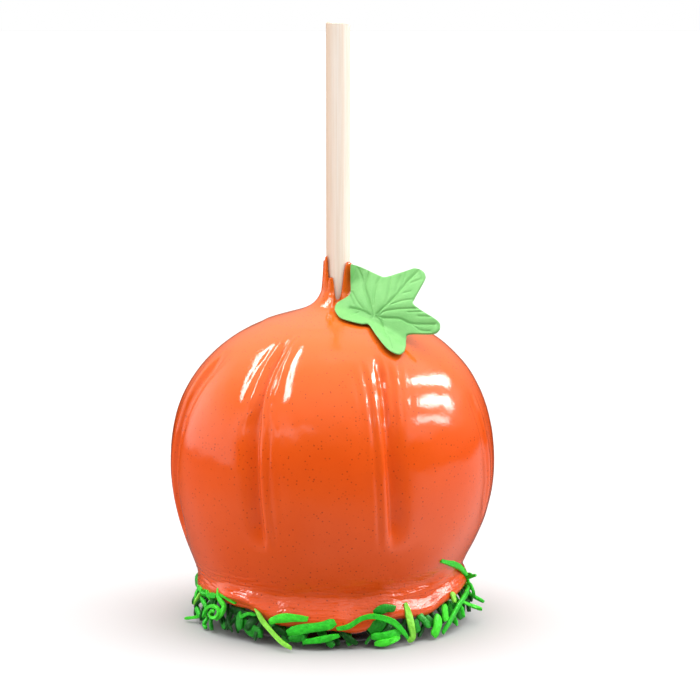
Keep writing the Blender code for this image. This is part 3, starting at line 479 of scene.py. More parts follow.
def foot_relief(azimuth, z):
    """The foot's bead, and fine wrinkles that run round it, deeper in places."""
    a = np.radians(azimuth)
    above = z - lip_height(azimuth)
    slant = SLANT * ease(azimuth, *SLANT_SPAN) * np.sin(a - SLANT_TURN)
    waves = 0.0
    for share, rate, lean, bend, turns, phase, second, splits in WRINKLES:
        bent = bend * np.sin(turns * a + phase)
        waves = waves + share * np.sin(rate * z + lean * slant + bent + second * np.sin(splits * a))
    across = np.sin(PATCH_SPLITS * a + PATCH_PHASE)
    patches = PATCH_MEAN + PATCH_SWING * np.sin(PATCH_TURNS * a + PATCH_SLANT * z) * across
    deeper = near(azimuth, *DEEPER_AZIMUTH) * hill(above, *DEEPER_PLACE)
    fade = ease(above, *WRINKLE_SPAN) * (1.0 - ease(above, *SMOOTH_SPAN))
    return foot_bead(azimuth, above) + WRINKLE * waves * patches * (1.0 + deeper) * fade


def foot_bulge(azimuth, z):
    """How far the coat's fat folds on the foot stand out, or its hollows lie in."""
    above = z - lip_height(azimuth)
    return sum(out * near(azimuth, at, half) * hill(above, middle, tall)
               for at, half, middle, tall, out in BULGES)


RIB_COLUMNS, RIB_CROWDING = 56, 0.11
LIP_ROWS, FLANK_ROWS, BELLY_ROWS, DOME_ROWS, CROWN_ROWS, FINGER_ROWS = 10, 52, 34, 54, 24, 20
DOME_TURN = math.radians(66.0)


def rib_azimuths(level):
    """Azimuths of a row's columns, crowded towards the grooves."""
    t = np.arange(RIB_COLUMNS) / RIB_COLUMNS
    share = t - RIB_CROWDING * np.sin(2.0 * np.pi * t)
    row = []
    for index in range(len(GROOVES)):
        start, end = groove_azimuth(index, level), groove_azimuth(index + 1, level)
        row.append(start + (end - start) * share)
    return np.concatenate(row)


def side_row(azimuth, z):
    """A row of the coat's side, with its grooves."""
    out, up = body_normal(z)
    ripples = ripple(azimuth, z) * ease(z, *RIPPLE_FADE)
    relief = groove_relief(azimuth, z) + ripples + foot_relief(azimuth, z)
    shift = SHOULDER_SHIFT * ease(z, SHIFT_START_Z, CROWN_START_Z)
    radius = side_radius(azimuth, z) + foot_bulge(azimuth, z) + relief * out
    return on_axis(azimuth, radius, z + relief * up, shift)


def under_rows(azimuth):
    """Rows of the flat base, the recessed wall and the foot's rounded lip."""
    rows = [on_axis(azimuth, radius, share * foot_edge(azimuth)) for radius, share in WALL_PROFILE]
    lip = lip_height(azimuth)
    for turn in np.radians(np.linspace(90.0, 0.0, LIP_ROWS)):
        radius = side_radius(azimuth, lip) - LIP_DEPTH * (1.0 - math.cos(turn))
        rows.append(on_axis(azimuth, radius, lip - LIP_DROP * math.sin(turn)))
    return rows


def side_rows():
    """Rows from the lip up the foot's flank, the belly and the dome."""
    rows = []
    for share in np.linspace(0.0, 1.0, FLANK_ROWS + 1)[1:]:
        azimuth = rib_azimuths(FLANK_TOP_Z * share)
        lip = lip_height(azimuth)
        rows.append(side_row(azimuth, lip + (FLANK_TOP_Z - lip) * share))
    belly = np.linspace(FLANK_TOP_Z, WAIST_Z, BELLY_ROWS + 1)[1:]
    turn = np.linspace(0.0, DOME_TURN, DOME_ROWS + 1)[1:]
    dome = WAIST_Z + (CROWN_START_Z - WAIST_Z) * np.sin(turn) / math.sin(DOME_TURN)
    for z in np.concatenate([belly, dome]):
        azimuth = rib_azimuths(z)
        rows.append(side_row(azimuth, np.full(azimuth.shape, z)))
    return rows


def crown_rows(azimuth):
    """Rows over the crown, up the fingers round the stick, and down its hole."""
    rows = []
    top = finger_top(azimuth)
    room = top - COLLAR_EDGE - crown_height(COLLAR_BASE_RADIUS, 0.0)
    share = np.clip(room / CONE_RISE, 0.0, 1.0)
    for radius in np.linspace(CROWN_RADIUS, COLLAR_BASE_RADIUS, CROWN_ROWS + 1):
        shift = STICK_X + (SHOULDER_SHIFT - STICK_X) * ease(radius, CENTRED_RADIUS, CROWN_RADIUS)
        rows.append(on_axis(azimuth, radius, crown_height(radius, share), shift))
    base = crown_height(COLLAR_BASE_RADIUS, share)
    for rise in np.linspace(0.0, FINGER_END, FINGER_ROWS)[1:]:
        taper = (COLLAR_TOP_RADIUS - COLLAR_BASE_RADIUS) * rise**COLLAR_TAPER
        height = base + (top - base) * rise
        rows.append(on_axis(azimuth, COLLAR_BASE_RADIUS + taper, height, STICK_X))
    for z in (top, CROWN_START_Z, STICK_BOTTOM_Z - GAP):
        rows.append(on_axis(azimuth, BORE_RADIUS, z, STICK_X))
    return rows


def build_coat():
    """The coat as one fine closed grid, from its base up the outside and down the stick's hole."""
    rows = under_rows(rib_azimuths(0.0)) + side_rows() + crown_rows(rib_azimuths(CROWN_START_Z))
    return add_skin("coat", [(0.0, 0.0, 0.0)], rows, [(STICK_X, 0.0, STICK_BOTTOM_Z - GAP)])


# Coconut

SHRED_SECTION = (  # its corners, in shares of half the width and half the thickness
    (-1, -0.45), (-0.8, -1), (0.8, -1), (1, -0.45), (1, 0.45), (0.8, 1), (-0.8, 1), (-1, 0.45),
)
SHRED_STEPS, SHRED_PHASE, SHRED_SLANT, SHARP_ANGLE = 6, 6.3, 0.4, 50.0
END_SHARE, END_GROWTH = 0.72, 8.0
SLIM_SHARE, SLIM_START, SLIM_REACH = 0.7, 0.12, 0.76
WIDE_WAVER, WIDE_RATE, DEEP_WAVER, DEEP_RATE = 0.10, 9.0, 0.12, 13.0


def shred_shares(t, phase):
    """How wide and thick a shred is at a share of its length: slimmer to its ends, and uneven."""
    end = END_SHARE + (1.0 - END_SHARE) * min(1.0, END_GROWTH * t, END_GROWTH * (1.0 - t))
    belly = SLIM_SHARE + (1.0 - SLIM_SHARE) * math.sin(math.pi * (SLIM_START + SLIM_REACH * t))
    wide = end * belly * (1.0 + WIDE_WAVER * math.sin(WIDE_RATE * t + phase))
    return wide, end * (1.0 + DEEP_WAVER * math.sin(DEEP_RATE * t + phase))


def shred_mesh(path, width, thickness, roll, rng):
    """A strip along the path with a rounded section, wavering in width, its ends cut aslant."""
    last = len(path) - 1
    phase, slant = rng.uniform(0.0, SHRED_PHASE), swing(rng, SHRED_SLANT)
    points, faces = [], []
    for i, centre in enumerate(path):
        along = path[min(i + 1, last)] - path[max(i - 1, 0)]
        along = along / np.linalg.norm(along)
        outward = np.array((centre[0], centre[1], 0.0))
        outward = outward - along * outward.dot(along)
        outward = outward / np.linalg.norm(outward)
        across = np.cross(along, outward)
        t = i / last
        turn = math.radians(roll * (0.5 + t))
        flat = across * math.cos(turn) + outward * math.sin(turn)
        thick = np.cross(flat, along)
        wide, deep = shred_shares(t, phase)
        half, deep = 0.5 * width * wide, 0.5 * thickness * deep
        lean = slant * half * (1.0 if i in (0, last) else 0.0)
        for side, up in SHRED_SECTION:
            points.append(centre + flat * side * half + thick * up * deep + along * side * lean)
    n = len(SHRED_SECTION)
    for i in range(last):
        for k in range(n):
            a, b = n * i + k, n * i + (k + 1) % n
            faces.append((a, b, b + n, a + n))
    faces.append(tuple(reversed(range(n))))
    faces.append(tuple(n * last + k for k in range(n)))
    return points, faces


def swing(rng, most):
    """A random number of at most this size, either way."""
    return rng.uniform(-most, most)


def resting_radius(rest, azimuth, z):
    """Radius of a shred along the lip, hanging from it, or low against the wall."""
    if rest == "low":
        share = min(1.0, z / (WALL_TOP * foot_edge(azimuth)))
        return FLAT_RADIUS + (WALL_RADIUS - FLAT_RADIUS) * share + WALL_CLEAR
    lip = lip_height(azimuth)
    drop = max(0.0, lip - z)
    inward = HANGING_LEAN * drop
    if rest == "along":
        inward = LIP_DEPTH * (1.0 - math.sqrt(1.0 - min(1.0, drop / LIP_DROP) ** 2))
    return side_radius(azimuth, max(z, lip)) - inward


def ring_shred(rng, azimuth, lengths, widths):
    """Path and width of one shred that rests on the foot in one of these ways."""
    kind, side = rng.random(), rng.choice((-1, 1))
    length, width = rng.uniform(*lengths), rng.uniform(*widths)
    rest = "low"
    if kind < ALONG_SHARE:
        rest = "along"
    elif kind < ALONG_SHARE + HANGING_SHARE:
        rest = "hanging"
    slope, middle = (rng.uniform(*limits) for limits in RESTS[rest])
    half_turn = side * math.degrees(0.5 * length * math.cos(slope) / FOOT_RADIUS)
    half_rise = 0.5 * length * math.sin(slope)
    if rest != "low":
        middle += float(lip_height(azimuth))
    if rest == "hanging":
        middle += half_rise
    lowest = 0.5 * width + GROUND_CLEAR
    lifts = (rng.uniform(*START_LIFTS), rng.uniform(*END_LIFTS))
    path = []
    for i in range(SEGMENTS + 1):
        t = i / SEGMENTS
        around = azimuth + half_turn * (2.0 * t - 1.0)
        z = max(lowest, middle + half_rise * (2.0 * t - 1.0))
        radius = resting_radius(rest, around, z) + lifts[0] * (1.0 - t) ** 2 + lifts[1] * t**2
        path.append(on_axis(around, radius, z))
    return path, width


def hung_shred(rng, azimuth, widths):
    """Path and width of one shred stuck under the lip, its free end lower and further out."""
    top = foot_edge(azimuth) + HUNG_BITE
    turn, reach = swing(rng, HUNG_TURN), rng.uniform(*HUNG_REACHES)
    low = max(HUNG_LOWEST, top * rng.uniform(*HUNG_LOWS))
    path = []
    for i in range(SEGMENTS + 1):
        t = i / SEGMENTS
        radius = HUNG_START + (reach - HUNG_START) * math.sin(0.5 * math.pi * t)
        path.append(on_axis(azimuth + turn * t, radius, top + (low - top) * t))
    return path, rng.uniform(*widths)


SHRED_BATCHES = (  # shape, its sizes, thickness, count, start, turn, jitter, most roll, tones
    (ring_shred, ((6.0, 12.0), (1.2, 2.6)), THICK, 32, 84.0, 194.0, 0.35, 35.0, RING_TONES),
    (hung_shred, ((1.4, 2.4),), THICK, 24, -80.0, 160.0, 0.35, 20.0, PAINTED_SHADE_TONES),
)
SMALL_BATCHES = (
    (ring_shred, SMALL_SIZES, THIN, 46, 84.0, 194.0, 0.5, SMALL_ROLL, RING_TONES),
    (hung_shred, SMALL_SIZES[1:], THIN, 54, 0.0, 360.0, 0.5, 40.0, PAINTED_SHADE_TONES),
)


def batch(rng, tones, shape, sizes, thickness, count, start, turn, jitter, roll, choices):
    """Path, width, thickness, roll and tone of each shred of a batch."""
    plan = []
    for i in range(count):
        path, width = shape(rng, start + turn * (i + swing(rng, jitter)) / count, *sizes)
        plan.append((path, width, thickness, swing(rng, roll), tones.choice(choices)))
    return plan


def solid_shreds():
    """The shreds that the solid has."""
    rng, tones = random.Random(SHRED_SEED), random.Random(SHRED_SEED + 1)
    plan = []
    for tone, width, points in KEY_SHREDS:
        path = [on_axis(*point) for point in points]
        plan.append((path, width, THICK, swing(rng, SHRED_ROLL), tone))
    for one in SHRED_BATCHES:
        plan += batch(rng, tones, *one)
    return plan


def small_shreds():
    """The short shreds between them, which the solid leaves out."""
    rng = random.Random(SMALL_SEED)
    plan = []
    for one in SMALL_BATCHES:
        plan += batch(rng, rng, *one)
    for _ in range(LEFT_SHREDS):
        path, width = ring_shred(rng, rng.uniform(*LEFT_CLUSTER), *SMALL_SIZES)
        plan.append((path, width, THIN, swing(rng, SMALL_ROLL), rng.choice(LEFT_TONES)))
    return plan


def build_shreds(tones):
    """All the coconut as one mesh, each shred in one of the tones."""
    rng = random.Random(SMALL_SEED + 1)
    points, faces, slots = [], [], []
    for path, width, thickness, roll, tone in solid_shreds() + small_shreds():
        curve = spline(path, SHRED_STEPS)
        new_points, new_faces = shred_mesh(curve, width, thickness, roll, rng)
        base = len(points)
        points += new_points
        faces += [tuple(base + v for v in face) for face in new_faces]
        slots += [tone] * len(new_faces)
    shreds = add_mesh("coconut", points, faces)
    for tone in tones:
        shreds.data.materials.append(tone)
    shreds.data.polygons.foreach_set("material_index", slots)
    shreds.data.set_sharp_from_angle(angle=math.radians(SHARP_ANGLE))
    return shreds


# Leaf

VEIN_STEPS, VEIN_PROFILE = 8, ((0.75, 1.0), (0.25, 3.2))  # shares and spreads of line and hollow
VEINS = (  # depth, half width, then the points that the vein runs through
    (0.42, 0.34, ((-0.7, -0.4), (0.7, 1.2), (2.5, 3.8), (4.7, 7.5), (6.6, 8.9), (9.2, 10.4))),
    (0.26, 0.28, ((4.7, 7.5), (6.6, 10.4), (8.2, 13.4))),
    (0.24, 0.28, ((1.9, 1.6), (4.3, 3.4), (6.9, 5.1), (9.3, 6.0))),
    (0.3, 0.3, ((4.3, -0.9), (7.1, 0.8), (10.2, 3.1), (11.5, 3.8))),
    (0.42, 0.34, ((0.6, -1.0), (5.7, -1.5), (9.2, -1.3), (12.7, -0.9), (16.7, -1.0))),
    (0.22, 0.28, ((11.0, -0.7), (14.3, 1.5))),
    (0.22, 0.28, ((12.7, -2.0), (15.1, -3.6))),
    (0.22, 0.28, ((9.3, -2.8), (10.8, -3.9))),
    (0.22, 0.28, ((7.4, -1.7), (10.1, 0.4), (12.6, 1.8))),
    (0.34, 0.3, ((0.3, -1.7), (2.2, -2.2), (5.2, -5.2), (8.1, -8.9))),
    (0.22, 0.28, ((4.8, -2.4), (7.7, -4.4), (9.5, -6.3))),
    (0.42, 0.34, ((0.0, -1.2), (0.9, -3.5), (3.0, -6.9), (3.8, -10.2), (7.2, -15.4))),
    (0.22, 0.28, ((6.4, -10.3), (8.2, -13.3))),
    (0.22, 0.28, ((5.7, -7.5), (8.6, -11.2))),
    (0.24, 0.28, ((3.7, -10.0), (3.7, -13.1), (5.0, -15.5))),
    (0.5, 0.38, ((-0.1, -1.4), (-0.3, -2.7), (-1.5, -4.8), (-2.9, -7.7), (-4.6, -10.4))),
    (0.24, 0.28, ((-1.8, -1.9), (-3.0, -3.6))),
    (0.24, 0.28, ((-3.0, -5.0), (-4.8, -5.8))),
    (0.28, 0.3, ((-1.7, -5.7), (-1.7, -9.6), (-2.3, -12.2))),
    (0.42, 0.34, ((-0.4, -0.2), (-0.6, 0.9), (-1.0, 4.0), (-2.0, 6.9))),
    (0.24, 0.28, ((-1.4, 3.7), (-3.4, 5.2))),
    (0.26, 0.3, ((0.7, 9.4), (-0.7, 6.8))),
    (0.24, 0.28, ((-0.3, 3.7), (0.5, 6.5), (1.9, 9.8))),
)


def vein_relief(x, y):
    """How deep the pressed veins are, from the distance to each."""
    depth = np.zeros_like(x)
    for deep, half, knots in VEINS:
        line = spline(knots, VEIN_STEPS)
        reach = np.full(x.shape, np.inf)
        for (ax, ay), (bx, by) in zip(line, line[1:]):
            t = np.clip(((x - ax) * (bx - ax) + (y - ay) * (by - ay))
                        / ((bx - ax) ** 2 + (by - ay) ** 2), 0.0, 1.0)
            reach = np.minimum(reach, np.hypot(x - ax - t * (bx - ax), y - ay - t * (by - ay)))
        groove = sum(share * hill(reach, 0.0, wide * half) for share, wide in VEIN_PROFILE)
        depth = np.maximum(depth, deep * groove)
    return depth


def leaf_relief(x, y):
    """Height of the leaf's middle: its slow wave and its curl."""
    wave = LEAF_WAVE * np.sin(LEAF_WAVE_X * x + LEAF_WAVE_PHASE) * np.cos(LEAF_WAVE_Y * y)
    return wave - LEAF_CURL * (x**2 + y**2)


def coat_distance(points):
    """About how far points are from the dome, from the crown's cone and from the collar."""
    x, y, z = points.T
    reach = np.hypot(x - SHOULDER_SHIFT * ease(z, SHIFT_START_Z, CROWN_START_Z), y)
    rise = np.abs((z - WAIST_Z) / DOME_RISE)
    out = ((reach / BODY_RADIUS) ** DOME_POWER + rise**DOME_POWER) ** (1.0 / DOME_POWER)
    dome = np.hypot(reach, z - WAIST_Z) * (1.0 - 1.0 / out)
    reach = np.hypot(x - STICK_X, y)
    slope = (crown_height(reach) - crown_height(reach + SLOPE_STEP)) / SLOPE_STEP
    crown = (z - crown_height(reach)) / np.hypot(1.0, slope)
    return np.minimum(np.minimum(dome, crown), reach - COLLAR_BASE_RADIUS)


def drape(under):
    """How far the leaf bends out so that points of its underside clear the coat."""
    ahead = np.array(LEAF_DRAPE)
    moved = np.zeros(len(under))
    for _ in range(LEAF_DRAPE_STEPS):
        moved = moved + GAP - coat_distance(under + ahead * moved[:, None])
    return 0.5 * (moved + np.sqrt(moved**2 + LEAF_DRAPE_BLEND**2))


LEAF_RIM_POINTS, LEAF_RINGS, LEAF_EDGE_ROWS = 480, 56, 8
LEAF_ROUND, EDGE_TURN = 0.42, 80.0  # radius of the leaf's rounded edge, degrees up and down it


def build_leaf():
    """The leaf as a fine wavy slab with pressed veins and a rounded edge."""
    axis, normal = np.array(LEAF_AXIS), np.array(LEAF_NORMAL)
    normal = normal / np.linalg.norm(normal)
    axis = axis - normal * axis.dot(normal)
    axis = axis / np.linalg.norm(axis)
    left = np.cross(normal, axis)
    rim = closed_curve(np.array(LEAF_RIM), LEAF_RIM_POINTS)
    reach = np.linalg.norm(rim, axis=1)[:, None]

    def place(flat, height):
        x, y = flat.T
        under = flat @ np.array([axis, left]) + np.array(LEAF_CENTRE)
        low = under + normal * (leaf_relief(x, y) - LEAF_THICKNESS)[:, None]
        out = np.array(LEAF_DRAPE) * drape(low)[:, None]
        return under + normal * (leaf_relief(x, y) + height)[:, None] + out

    inner = 1.0 - LEAF_ROUND / reach
    shares = np.linspace(0.0, 1.0, LEAF_RINGS + 1)[1:]
    rows = []
    for share in shares:
        flat = rim * inner * share
        rows.append(place(flat, -vein_relief(*flat.T)))
    half = LEAF_THICKNESS / 2
    for turn in np.radians(np.linspace(EDGE_TURN, -EDGE_TURN, LEAF_EDGE_ROWS)):
        flat = rim * (1.0 - LEAF_ROUND * (1.0 - math.cos(turn)) / reach)
        veins = vein_relief(*flat.T) * max(0.0, turn)
        rows.append(place(flat, half * math.sin(turn) - half - veins))
    for share in shares[::-1]:
        flat = rim * inner * share
        rows.append(place(flat, np.full(len(flat), -LEAF_THICKNESS)))
    middle = np.zeros((1, 2))
    top = place(middle, -vein_relief(*middle.T))
    bottom = place(middle, np.array([-LEAF_THICKNESS]))
    return add_skin("leaf_skin", top, rows, bottom, flipped=True)


# Materials


def srgb(colour):
    """A colour as the eye sees it, 0 to 255, in the linear numbers that the shader needs."""
    parts = (v / 255.0 for v in colour)
    return (*(v / 12.92 if v <= 0.04045 else ((v + 0.055) / 1.055) ** 2.4 for v in parts), 1.0)


class Nodes:
    """Short ways to add procedural nodes to a node tree."""

    def __init__(self, tree):
        self.tree = tree

    def give(self, socket, value):
        """Feeds a socket from another node's output, or sets it to a plain value."""
        if isinstance(value, bpy.types.NodeSocket):
            self.tree.links.new(value, socket)
        else:
            socket.default_value = value

    def node(self, kind, settings=None, **inputs):
        made = self.tree.nodes.new("ShaderNode" + kind)
        for key, value in (settings or {}).items():
            setattr(made, key, value)
        for key, value in inputs.items():
            self.give(made.inputs[key.replace("_", " ")], value)
        return made

    def span(self, value, low, high, to_low=0.0, to_high=1.0, interpolation="LINEAR"):
        """The value's place between low and high, as a number between to_low and to_high."""
        made = self.node("MapRange", {"interpolation_type": interpolation}, Value=value,
                         From_Min=low, From_Max=high, To_Min=to_low, To_Max=to_high)
        return made.outputs["Result"]

    def math(self, operation, *values):
        made = self.node("Math", {"operation": operation})
        for socket, value in zip(made.inputs, values):
            self.give(socket, value)
        return made.outputs[0]

    def times(self, a, b):
        return self.math("MULTIPLY", a, b)


class Finish(Nodes):
    """A material with a Principled shader and procedural nodes in the object's millimetres."""

    def __init__(self, name, **values):
        self.material = bpy.data.materials.new(name)
        self.material.use_nodes = True
        super().__init__(self.material.node_tree)
        self.shader = self.tree.nodes["Principled BSDF"]
        for socket, value in values.items():
            self.shader.inputs[socket.replace("_", " ")].default_value = value

    def place(self, scale=(1.0, 1.0, 1.0)):
        """Object coordinates in millimetres, stretched by scale."""
        where = self.node("TexCoord").outputs["Object"]
        size = tuple(v / MM for v in scale)
        return self.node("Mapping", Vector=where, Scale=size).outputs["Vector"]

    def noise(self, scale, detail=3.0, roughness=0.5, stretch=(1.0, 1.0, 1.0)):
        made = self.node("TexNoise", Vector=self.place(stretch), Scale=scale, Detail=detail,
                         Roughness=roughness)
        return made.outputs["Fac"]

    def mix(self, share, a, b):
        made = self.node("Mix", {"data_type": "RGBA"})
        for key, value in (("Factor_Float", share), ("A_Color", a), ("B_Color", b)):
            self.give(next(s for s in made.inputs if s.identifier == key), value)
        return next(s for s in made.outputs if s.identifier == "Result_Color")

    def relief(self, height, depth, under=None):
        """Bump of this depth in millimetres, over an earlier bump if one is given."""
        made = self.node("Bump", Strength=1.0, Distance=depth * MM, Height=height)
        if under is not None:
            self.tree.links.new(under, made.inputs["Normal"])
        return made.outputs["Normal"]

    def feed(self, socket, value):
        self.tree.links.new(value, self.shader.inputs[socket])


# Colours as the eye sees them; each span says from where to where its colour or look sets in.
# The last of these is painted shade, for the wall under the foot's lip.
CANDY, SPECK, PAINTED_SHADE = (210, 76, 20), (128, 44, 14), (60, 16, 6)
# Painted light: the candy turns yellower towards the top and a little lighter low down, standing in
# for how the light falls.
PAINTED_LIGHT_TOP_CANDY, PAINTED_LIGHT_TOP_SPAN = (208, 94, 21), (50.0, 82.0)
PAINTED_LIGHT_LOW_CANDY, PAINTED_LIGHT_LOW_SPAN = (214, 78, 23), (34.0, 10.0)
CLOUD_CANDY, CLOUD_SPAN = (217, 85, 27), (0.35, 0.7, 0.0, 0.3)
SPECK_SPACING, SPECK_SIZE, SPECK_RARITY = 0.95, (0.25, 0.1), (0.1, 1.1)
FOOT_TOP, FOOT_BASE, COLLAR_SPAN = (20.0, 13.0), (2.0, 8.0), (82.5, 85.0)
# Painted shade: the wall and underside behind the foot's lip turn deep red-brown, where shade
# falls.
PAINTED_SHADE_REACH, PAINTED_SHADE_SPAN = (35.3, 34.0), (9.6, 8.4)
BODY_ROUGHNESS, FOOT_ROUGHNESS = 0.09, 0.12
PEEL_DEPTH, WRINKLE_DEPTH, GRAIN_DEPTH = 0.03, 0.24, 0.1
# Partly painted light and shade: the palest greens stand for lit shreds, the deepest for shreds in
# shadow.
COCONUT_COLOURS = ((8, 72, 12), (20, 130, 22), (36, 176, 30), (58, 198, 36), (124, 204, 62))
PASTE, PASTE_CLOUD = (103, 169, 91), (114, 177, 100)
WOOD, WOOD_GRAIN = (233, 221, 209), (226, 207, 188)
# Painted shade: the dowel's left side is darker, where less light falls.
PAINTED_SIDE_SHADE, PAINTED_SIDE_SHADE_SPAN = (192, 162, 136), (0.6, -1.7)


def coat_finish():
    """Glossy orange candy: a tone that changes slowly at random, painted light that makes it
    yellower at the top and lighter low down, dark specks, painted shade behind the foot's lip, and
    fine wrinkles on the foot.
    """
    made = Finish("orange_candy", IOR=1.5)
    height = made.node("SeparateXYZ", Vector=made.place()).outputs["Z"]
    # painted light: yellower top, and a lighter lower coat
    tone = made.mix(made.span(height, *PAINTED_LIGHT_TOP_SPAN), srgb(CANDY), srgb(PAINTED_LIGHT_TOP_CANDY))
    tone = made.mix(made.span(height, *PAINTED_LIGHT_LOW_SPAN), tone, srgb(PAINTED_LIGHT_LOW_CANDY))
    tone = made.mix(made.span(made.noise(0.09), *CLOUD_SPAN), tone, srgb(CLOUD_CANDY))
    cells = made.node("TexVoronoi", {"feature": "F1"}, Vector=made.place(), Scale=SPECK_SPACING)
    rare = made.node("SeparateColor", Color=cells.outputs["Color"]).outputs["Red"]
    specks = made.span(cells.outputs["Distance"], *SPECK_SIZE)
    specks = made.times(specks, made.span(rare, *SPECK_RARITY))
    tone = made.mix(specks, tone, srgb(SPECK))
    # painted shade under the foot's lip
    tone = made.mix(painted_shade_under_foot(made, height), tone, srgb(PAINTED_SHADE))
    made.feed("Base Color", tone)
    peel = made.relief(made.noise(1.4, 3.0, 0.5, (1.0, 1.0, 0.5)), PEEL_DEPTH)
    foot = made.times(made.span(height, *FOOT_TOP), made.span(height, *FOOT_BASE))
    made.feed("Roughness", made.span(foot, 0.0, 1.0, BODY_ROUGHNESS, FOOT_ROUGHNESS))
    wrinkle = made.times(made.noise(1.0, 2.0, 0.45, (0.3, 0.3, 1.6)), foot)
    rough = made.math("MAXIMUM", foot, made.span(height, *COLLAR_SPAN))
    grain = made.times(made.noise(1.2, 2.0, 0.5), rough)
    wrinkled = made.relief(wrinkle, WRINKLE_DEPTH, peel)
    made.feed("Normal", made.relief(grain, GRAIN_DEPTH, wrinkled))
    return made.material


def painted_shade_under_foot(made, height):
    """Where painted shade goes: 1 on the wall and the underside behind the foot's lip."""
    flat = made.node("VectorMath", {"operation": "MULTIPLY"}, Vector=made.place())
    flat.inputs[1].default_value = (1.0, 1.0, 0.0)
    reach = made.node("VectorMath", {"operation": "LENGTH"}, Vector=flat.outputs["Vector"])
    inside = made.span(reach.outputs["Value"], *PAINTED_SHADE_REACH)
    return made.times(inside, made.span(height, *PAINTED_SHADE_SPAN))


def coconut_tones():
    """Coconut from deep to pale green, partly dye that differs from shred to shred and partly
    painted light and shade.
    """
    made = []
    for index, colour in enumerate(COCONUT_COLOURS):
        finish = Finish(f"green_coconut_{index}", Roughness=0.42, Specular_IOR_Level=0.3)
        lighter = srgb(min(255, int(v * 1.12) + 8) for v in colour)
        share = finish.span(finish.noise(0.8), 0.35, 0.7)
        finish.feed("Base Color", finish.mix(share, srgb(colour), lighter))
        finish.feed("Normal", finish.relief(finish.noise(1.3, 3.0), 0.3))
        made.append(finish.material)
    return made


def leaf_finish():
    """Matte sugar paste, faintly mottled and powdery."""
    made = Finish("green_sugar_paste", Roughness=0.55)
    share = made.span(made.noise(0.35, 4.0), 0.3, 0.7)
    made.feed("Base Color", made.mix(share, srgb(PASTE), srgb(PASTE_CLOUD)))
    made.feed("Normal", made.relief(made.noise(2.2, 4.0), 0.05))
    return made.material


def wood_finish():
    """Pale sanded dowel with fine grain along it, and painted shade that darkens its left side."""
    made = Finish("pale_wood", Roughness=0.5)
    grain = made.noise(1.6, 5.0, 0.6, (1.0, 1.0, 0.02))
    tone = made.mix(made.span(grain, 0.35, 0.7), srgb(WOOD), srgb(WOOD_GRAIN))
    across = made.node("SeparateXYZ", Vector=made.place()).outputs["X"]
    # painted shade on the dowel's left side
    tone = made.mix(made.span(across, *PAINTED_SIDE_SHADE_SPAN), tone, srgb(PAINTED_SIDE_SHADE))
    made.feed("Base Color", tone)
    made.feed("Normal", made.relief(grain, 0.04))
    return made.material


# Studio

FLOOR_HALF, FLOOR_GREY = 40000.0, 0.44
STRIP_SIDES = (1.4, 0.7)  # shares of its half width between which a lamp's light sets in
STRIP_ENDS = (-0.012, 0.006)  # the same past its ends, as cosines of the angle from its middle


def build_floor():
    """A wide plain floor."""
    h = FLOOR_HALF
    corners = [(-h, -h, 0.0), (h, -h, 0.0), (h, h, 0.0), (-h, h, 0.0)]
    floor = add_mesh("floor", corners, [(0, 1, 2, 3)], smooth=False)
    grey = (FLOOR_GREY, FLOOR_GREY, FLOOR_GREY, 1.0)
    finish = Finish("studio_floor", Specular_IOR_Level=0.0, Base_Color=grey)
    floor.data.materials.append(finish.material)
    floor.visible_glossy = False


def heading(azimuth, elevation):
    """The unit vector of an azimuth and an elevation."""
    up = math.radians(elevation)
    return Vector(on_axis(azimuth, math.cos(up), math.sin(up)))


def panel_light(sky, azimuth, elevation, panel):
    """Radiance of one soft panel of the studio: it fades at each of its edges."""
    radiance, middle, half, side_fade, low, low_fade, high, high_fade = panel
    turn = sky.math("WRAP", sky.math("SUBTRACT", azimuth, middle), 180.0, -180.0)
    reach = sky.math("ABSOLUTE", turn)
    light = sky.span(elevation, low - low_fade, low + low_fade, 0.0, radiance, "SMOOTHSTEP")
    above = sky.span(elevation, high + high_fade, high - high_fade, interpolation="SMOOTHSTEP")
    beside = sky.span(reach, half + side_fade, half - side_fade, interpolation="SMOOTHSTEP")
    return sky.times(light, sky.times(above, beside))


def strip_light(sky, direction, strip):
    """Radiance of a narrow straight lamp that runs from one direction to another."""
    radiance, half_width, start, end = strip
    start, end = heading(*start), heading(*end)
    off = sky.node("VectorMath", {"operation": "DOT_PRODUCT"}, Vector=direction)
    off.inputs[1].default_value = start.cross(end).normalized()
    along = sky.node("VectorMath", {"operation": "DOT_PRODUCT"}, Vector=direction)
    along.inputs[1].default_value = (start + end).normalized()
    half = math.sin(math.radians(half_width))
    outer, inner = (share * half for share in STRIP_SIDES)
    beside = sky.math("ABSOLUTE", off.outputs["Value"])
    wide = sky.span(beside, outer, inner, 0.0, radiance, "SMOOTHSTEP")
    reach = math.cos(0.5 * start.angle(end))
    outer, inner = (reach + step for step in STRIP_ENDS)
    return sky.times(wide, sky.span(along.outputs["Value"], outer, inner))


def add_sun(azimuth, elevation, spread, strength):
    """A broad far light that leaves no highlight."""
    data = bpy.data.lights.new("soft_sun", "SUN")
    data.energy, data.angle = strength, math.radians(spread)
    lamp = bpy.data.objects.new("soft_sun", data)
    lamp.rotation_euler = heading(azimuth, elevation).to_track_quat("Z", "Y").to_euler()
    lamp.visible_glossy = False
    bpy.context.scene.collection.objects.link(lamp)


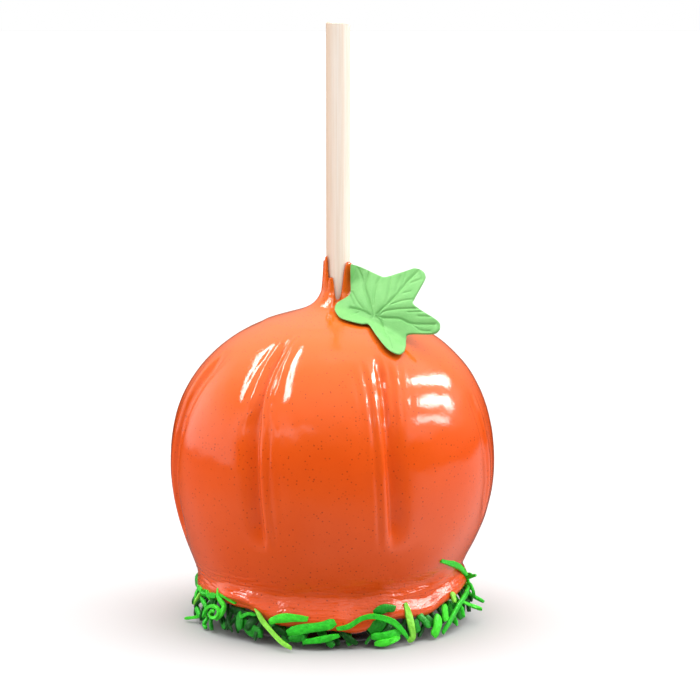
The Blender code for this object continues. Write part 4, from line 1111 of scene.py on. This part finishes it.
def build_studio():
    """White surroundings, and a room of soft panels and lamps that light the object."""
    for sun in SUNS:
        add_sun(*sun)
    scene = bpy.context.scene
    scene.view_settings.view_transform = "Standard"
    scene.world = bpy.data.worlds.new("studio")
    scene.world.use_nodes = True
    sky = Nodes(scene.world.node_tree)
    direction = sky.node("TexCoord").outputs["Generated"]
    part = sky.node("SeparateXYZ", Vector=direction).outputs
    degree = math.radians(1.0)
    elevation = sky.math("DIVIDE", sky.math("ARCSINE", part["Z"]), degree)
    turn = sky.math("ARCTAN2", part["X"], sky.times(part["Y"], -1.0))
    azimuth = sky.math("DIVIDE", turn, degree)
    light = lamps = 0.0
    for panel in PANELS:
        light = sky.math("ADD", light, panel_light(sky, azimuth, elevation, panel))
    for strip in STRIPS:
        lamps = sky.math("ADD", lamps, strip_light(sky, direction, strip))
    ray = sky.node("LightPath").outputs
    light = sky.times(light, sky.span(ray["Is Glossy Ray"], 0.0, 1.0, MATT_GAIN, 1.0))
    light = sky.math("ADD", light, sky.times(lamps, ray["Is Glossy Ray"]))
    around = sky.tree.nodes["Background"]
    sky.tree.links.new(light, around.inputs["Strength"])
    around.inputs["Color"].default_value = (1.0, 1.0, 1.0, 1.0)
    seen = sky.node("Background", Color=(1.0, 1.0, 1.0, 1.0), Strength=1.0)
    either = sky.node("MixShader", Fac=ray["Is Camera Ray"])
    sky.tree.links.new(around.outputs[0], either.inputs[1])
    sky.tree.links.new(seen.outputs[0], either.inputs[2])
    sky.tree.links.new(either.outputs[0], sky.tree.nodes["World Output"].inputs["Surface"])


def build_camera():
    """The photograph's camera."""
    data = bpy.data.cameras.new("camera")
    data.sensor_width, data.lens = SENSOR, SENSOR * FOCAL_PIXELS / FRAME_PIXELS
    data.clip_start, data.clip_end = 0.01, 20.0
    camera = bpy.data.objects.new("camera", data)
    camera.location = Vector(CAMERA_AT) * MM
    camera.rotation_euler = (math.radians(90.0 - CAMERA_PITCH), 0.0, 0.0)
    bpy.context.scene.collection.objects.link(camera)
    bpy.context.scene.camera = camera


def dress():
    """Every visible piece, on the solids that it stands for."""
    coat = build_coat()
    coat.data.materials.append(coat_finish())
    shreds = build_shreds(coconut_tones())
    leaf = build_leaf()
    leaf.data.materials.append(leaf_finish())
    for piece, node, slot in (
        (coat, "coated_apple", "coating"), (shreds, "coated_apple", "coating"),
        (leaf, "leaf", "sugar_paste"),
    ):
        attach(piece, "root")
        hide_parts(node)
    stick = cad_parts["stick"]
    stick.data.materials.clear()
    stick.data.materials.append(wood_finish())


build_camera()
build_studio()
build_floor()
dress()
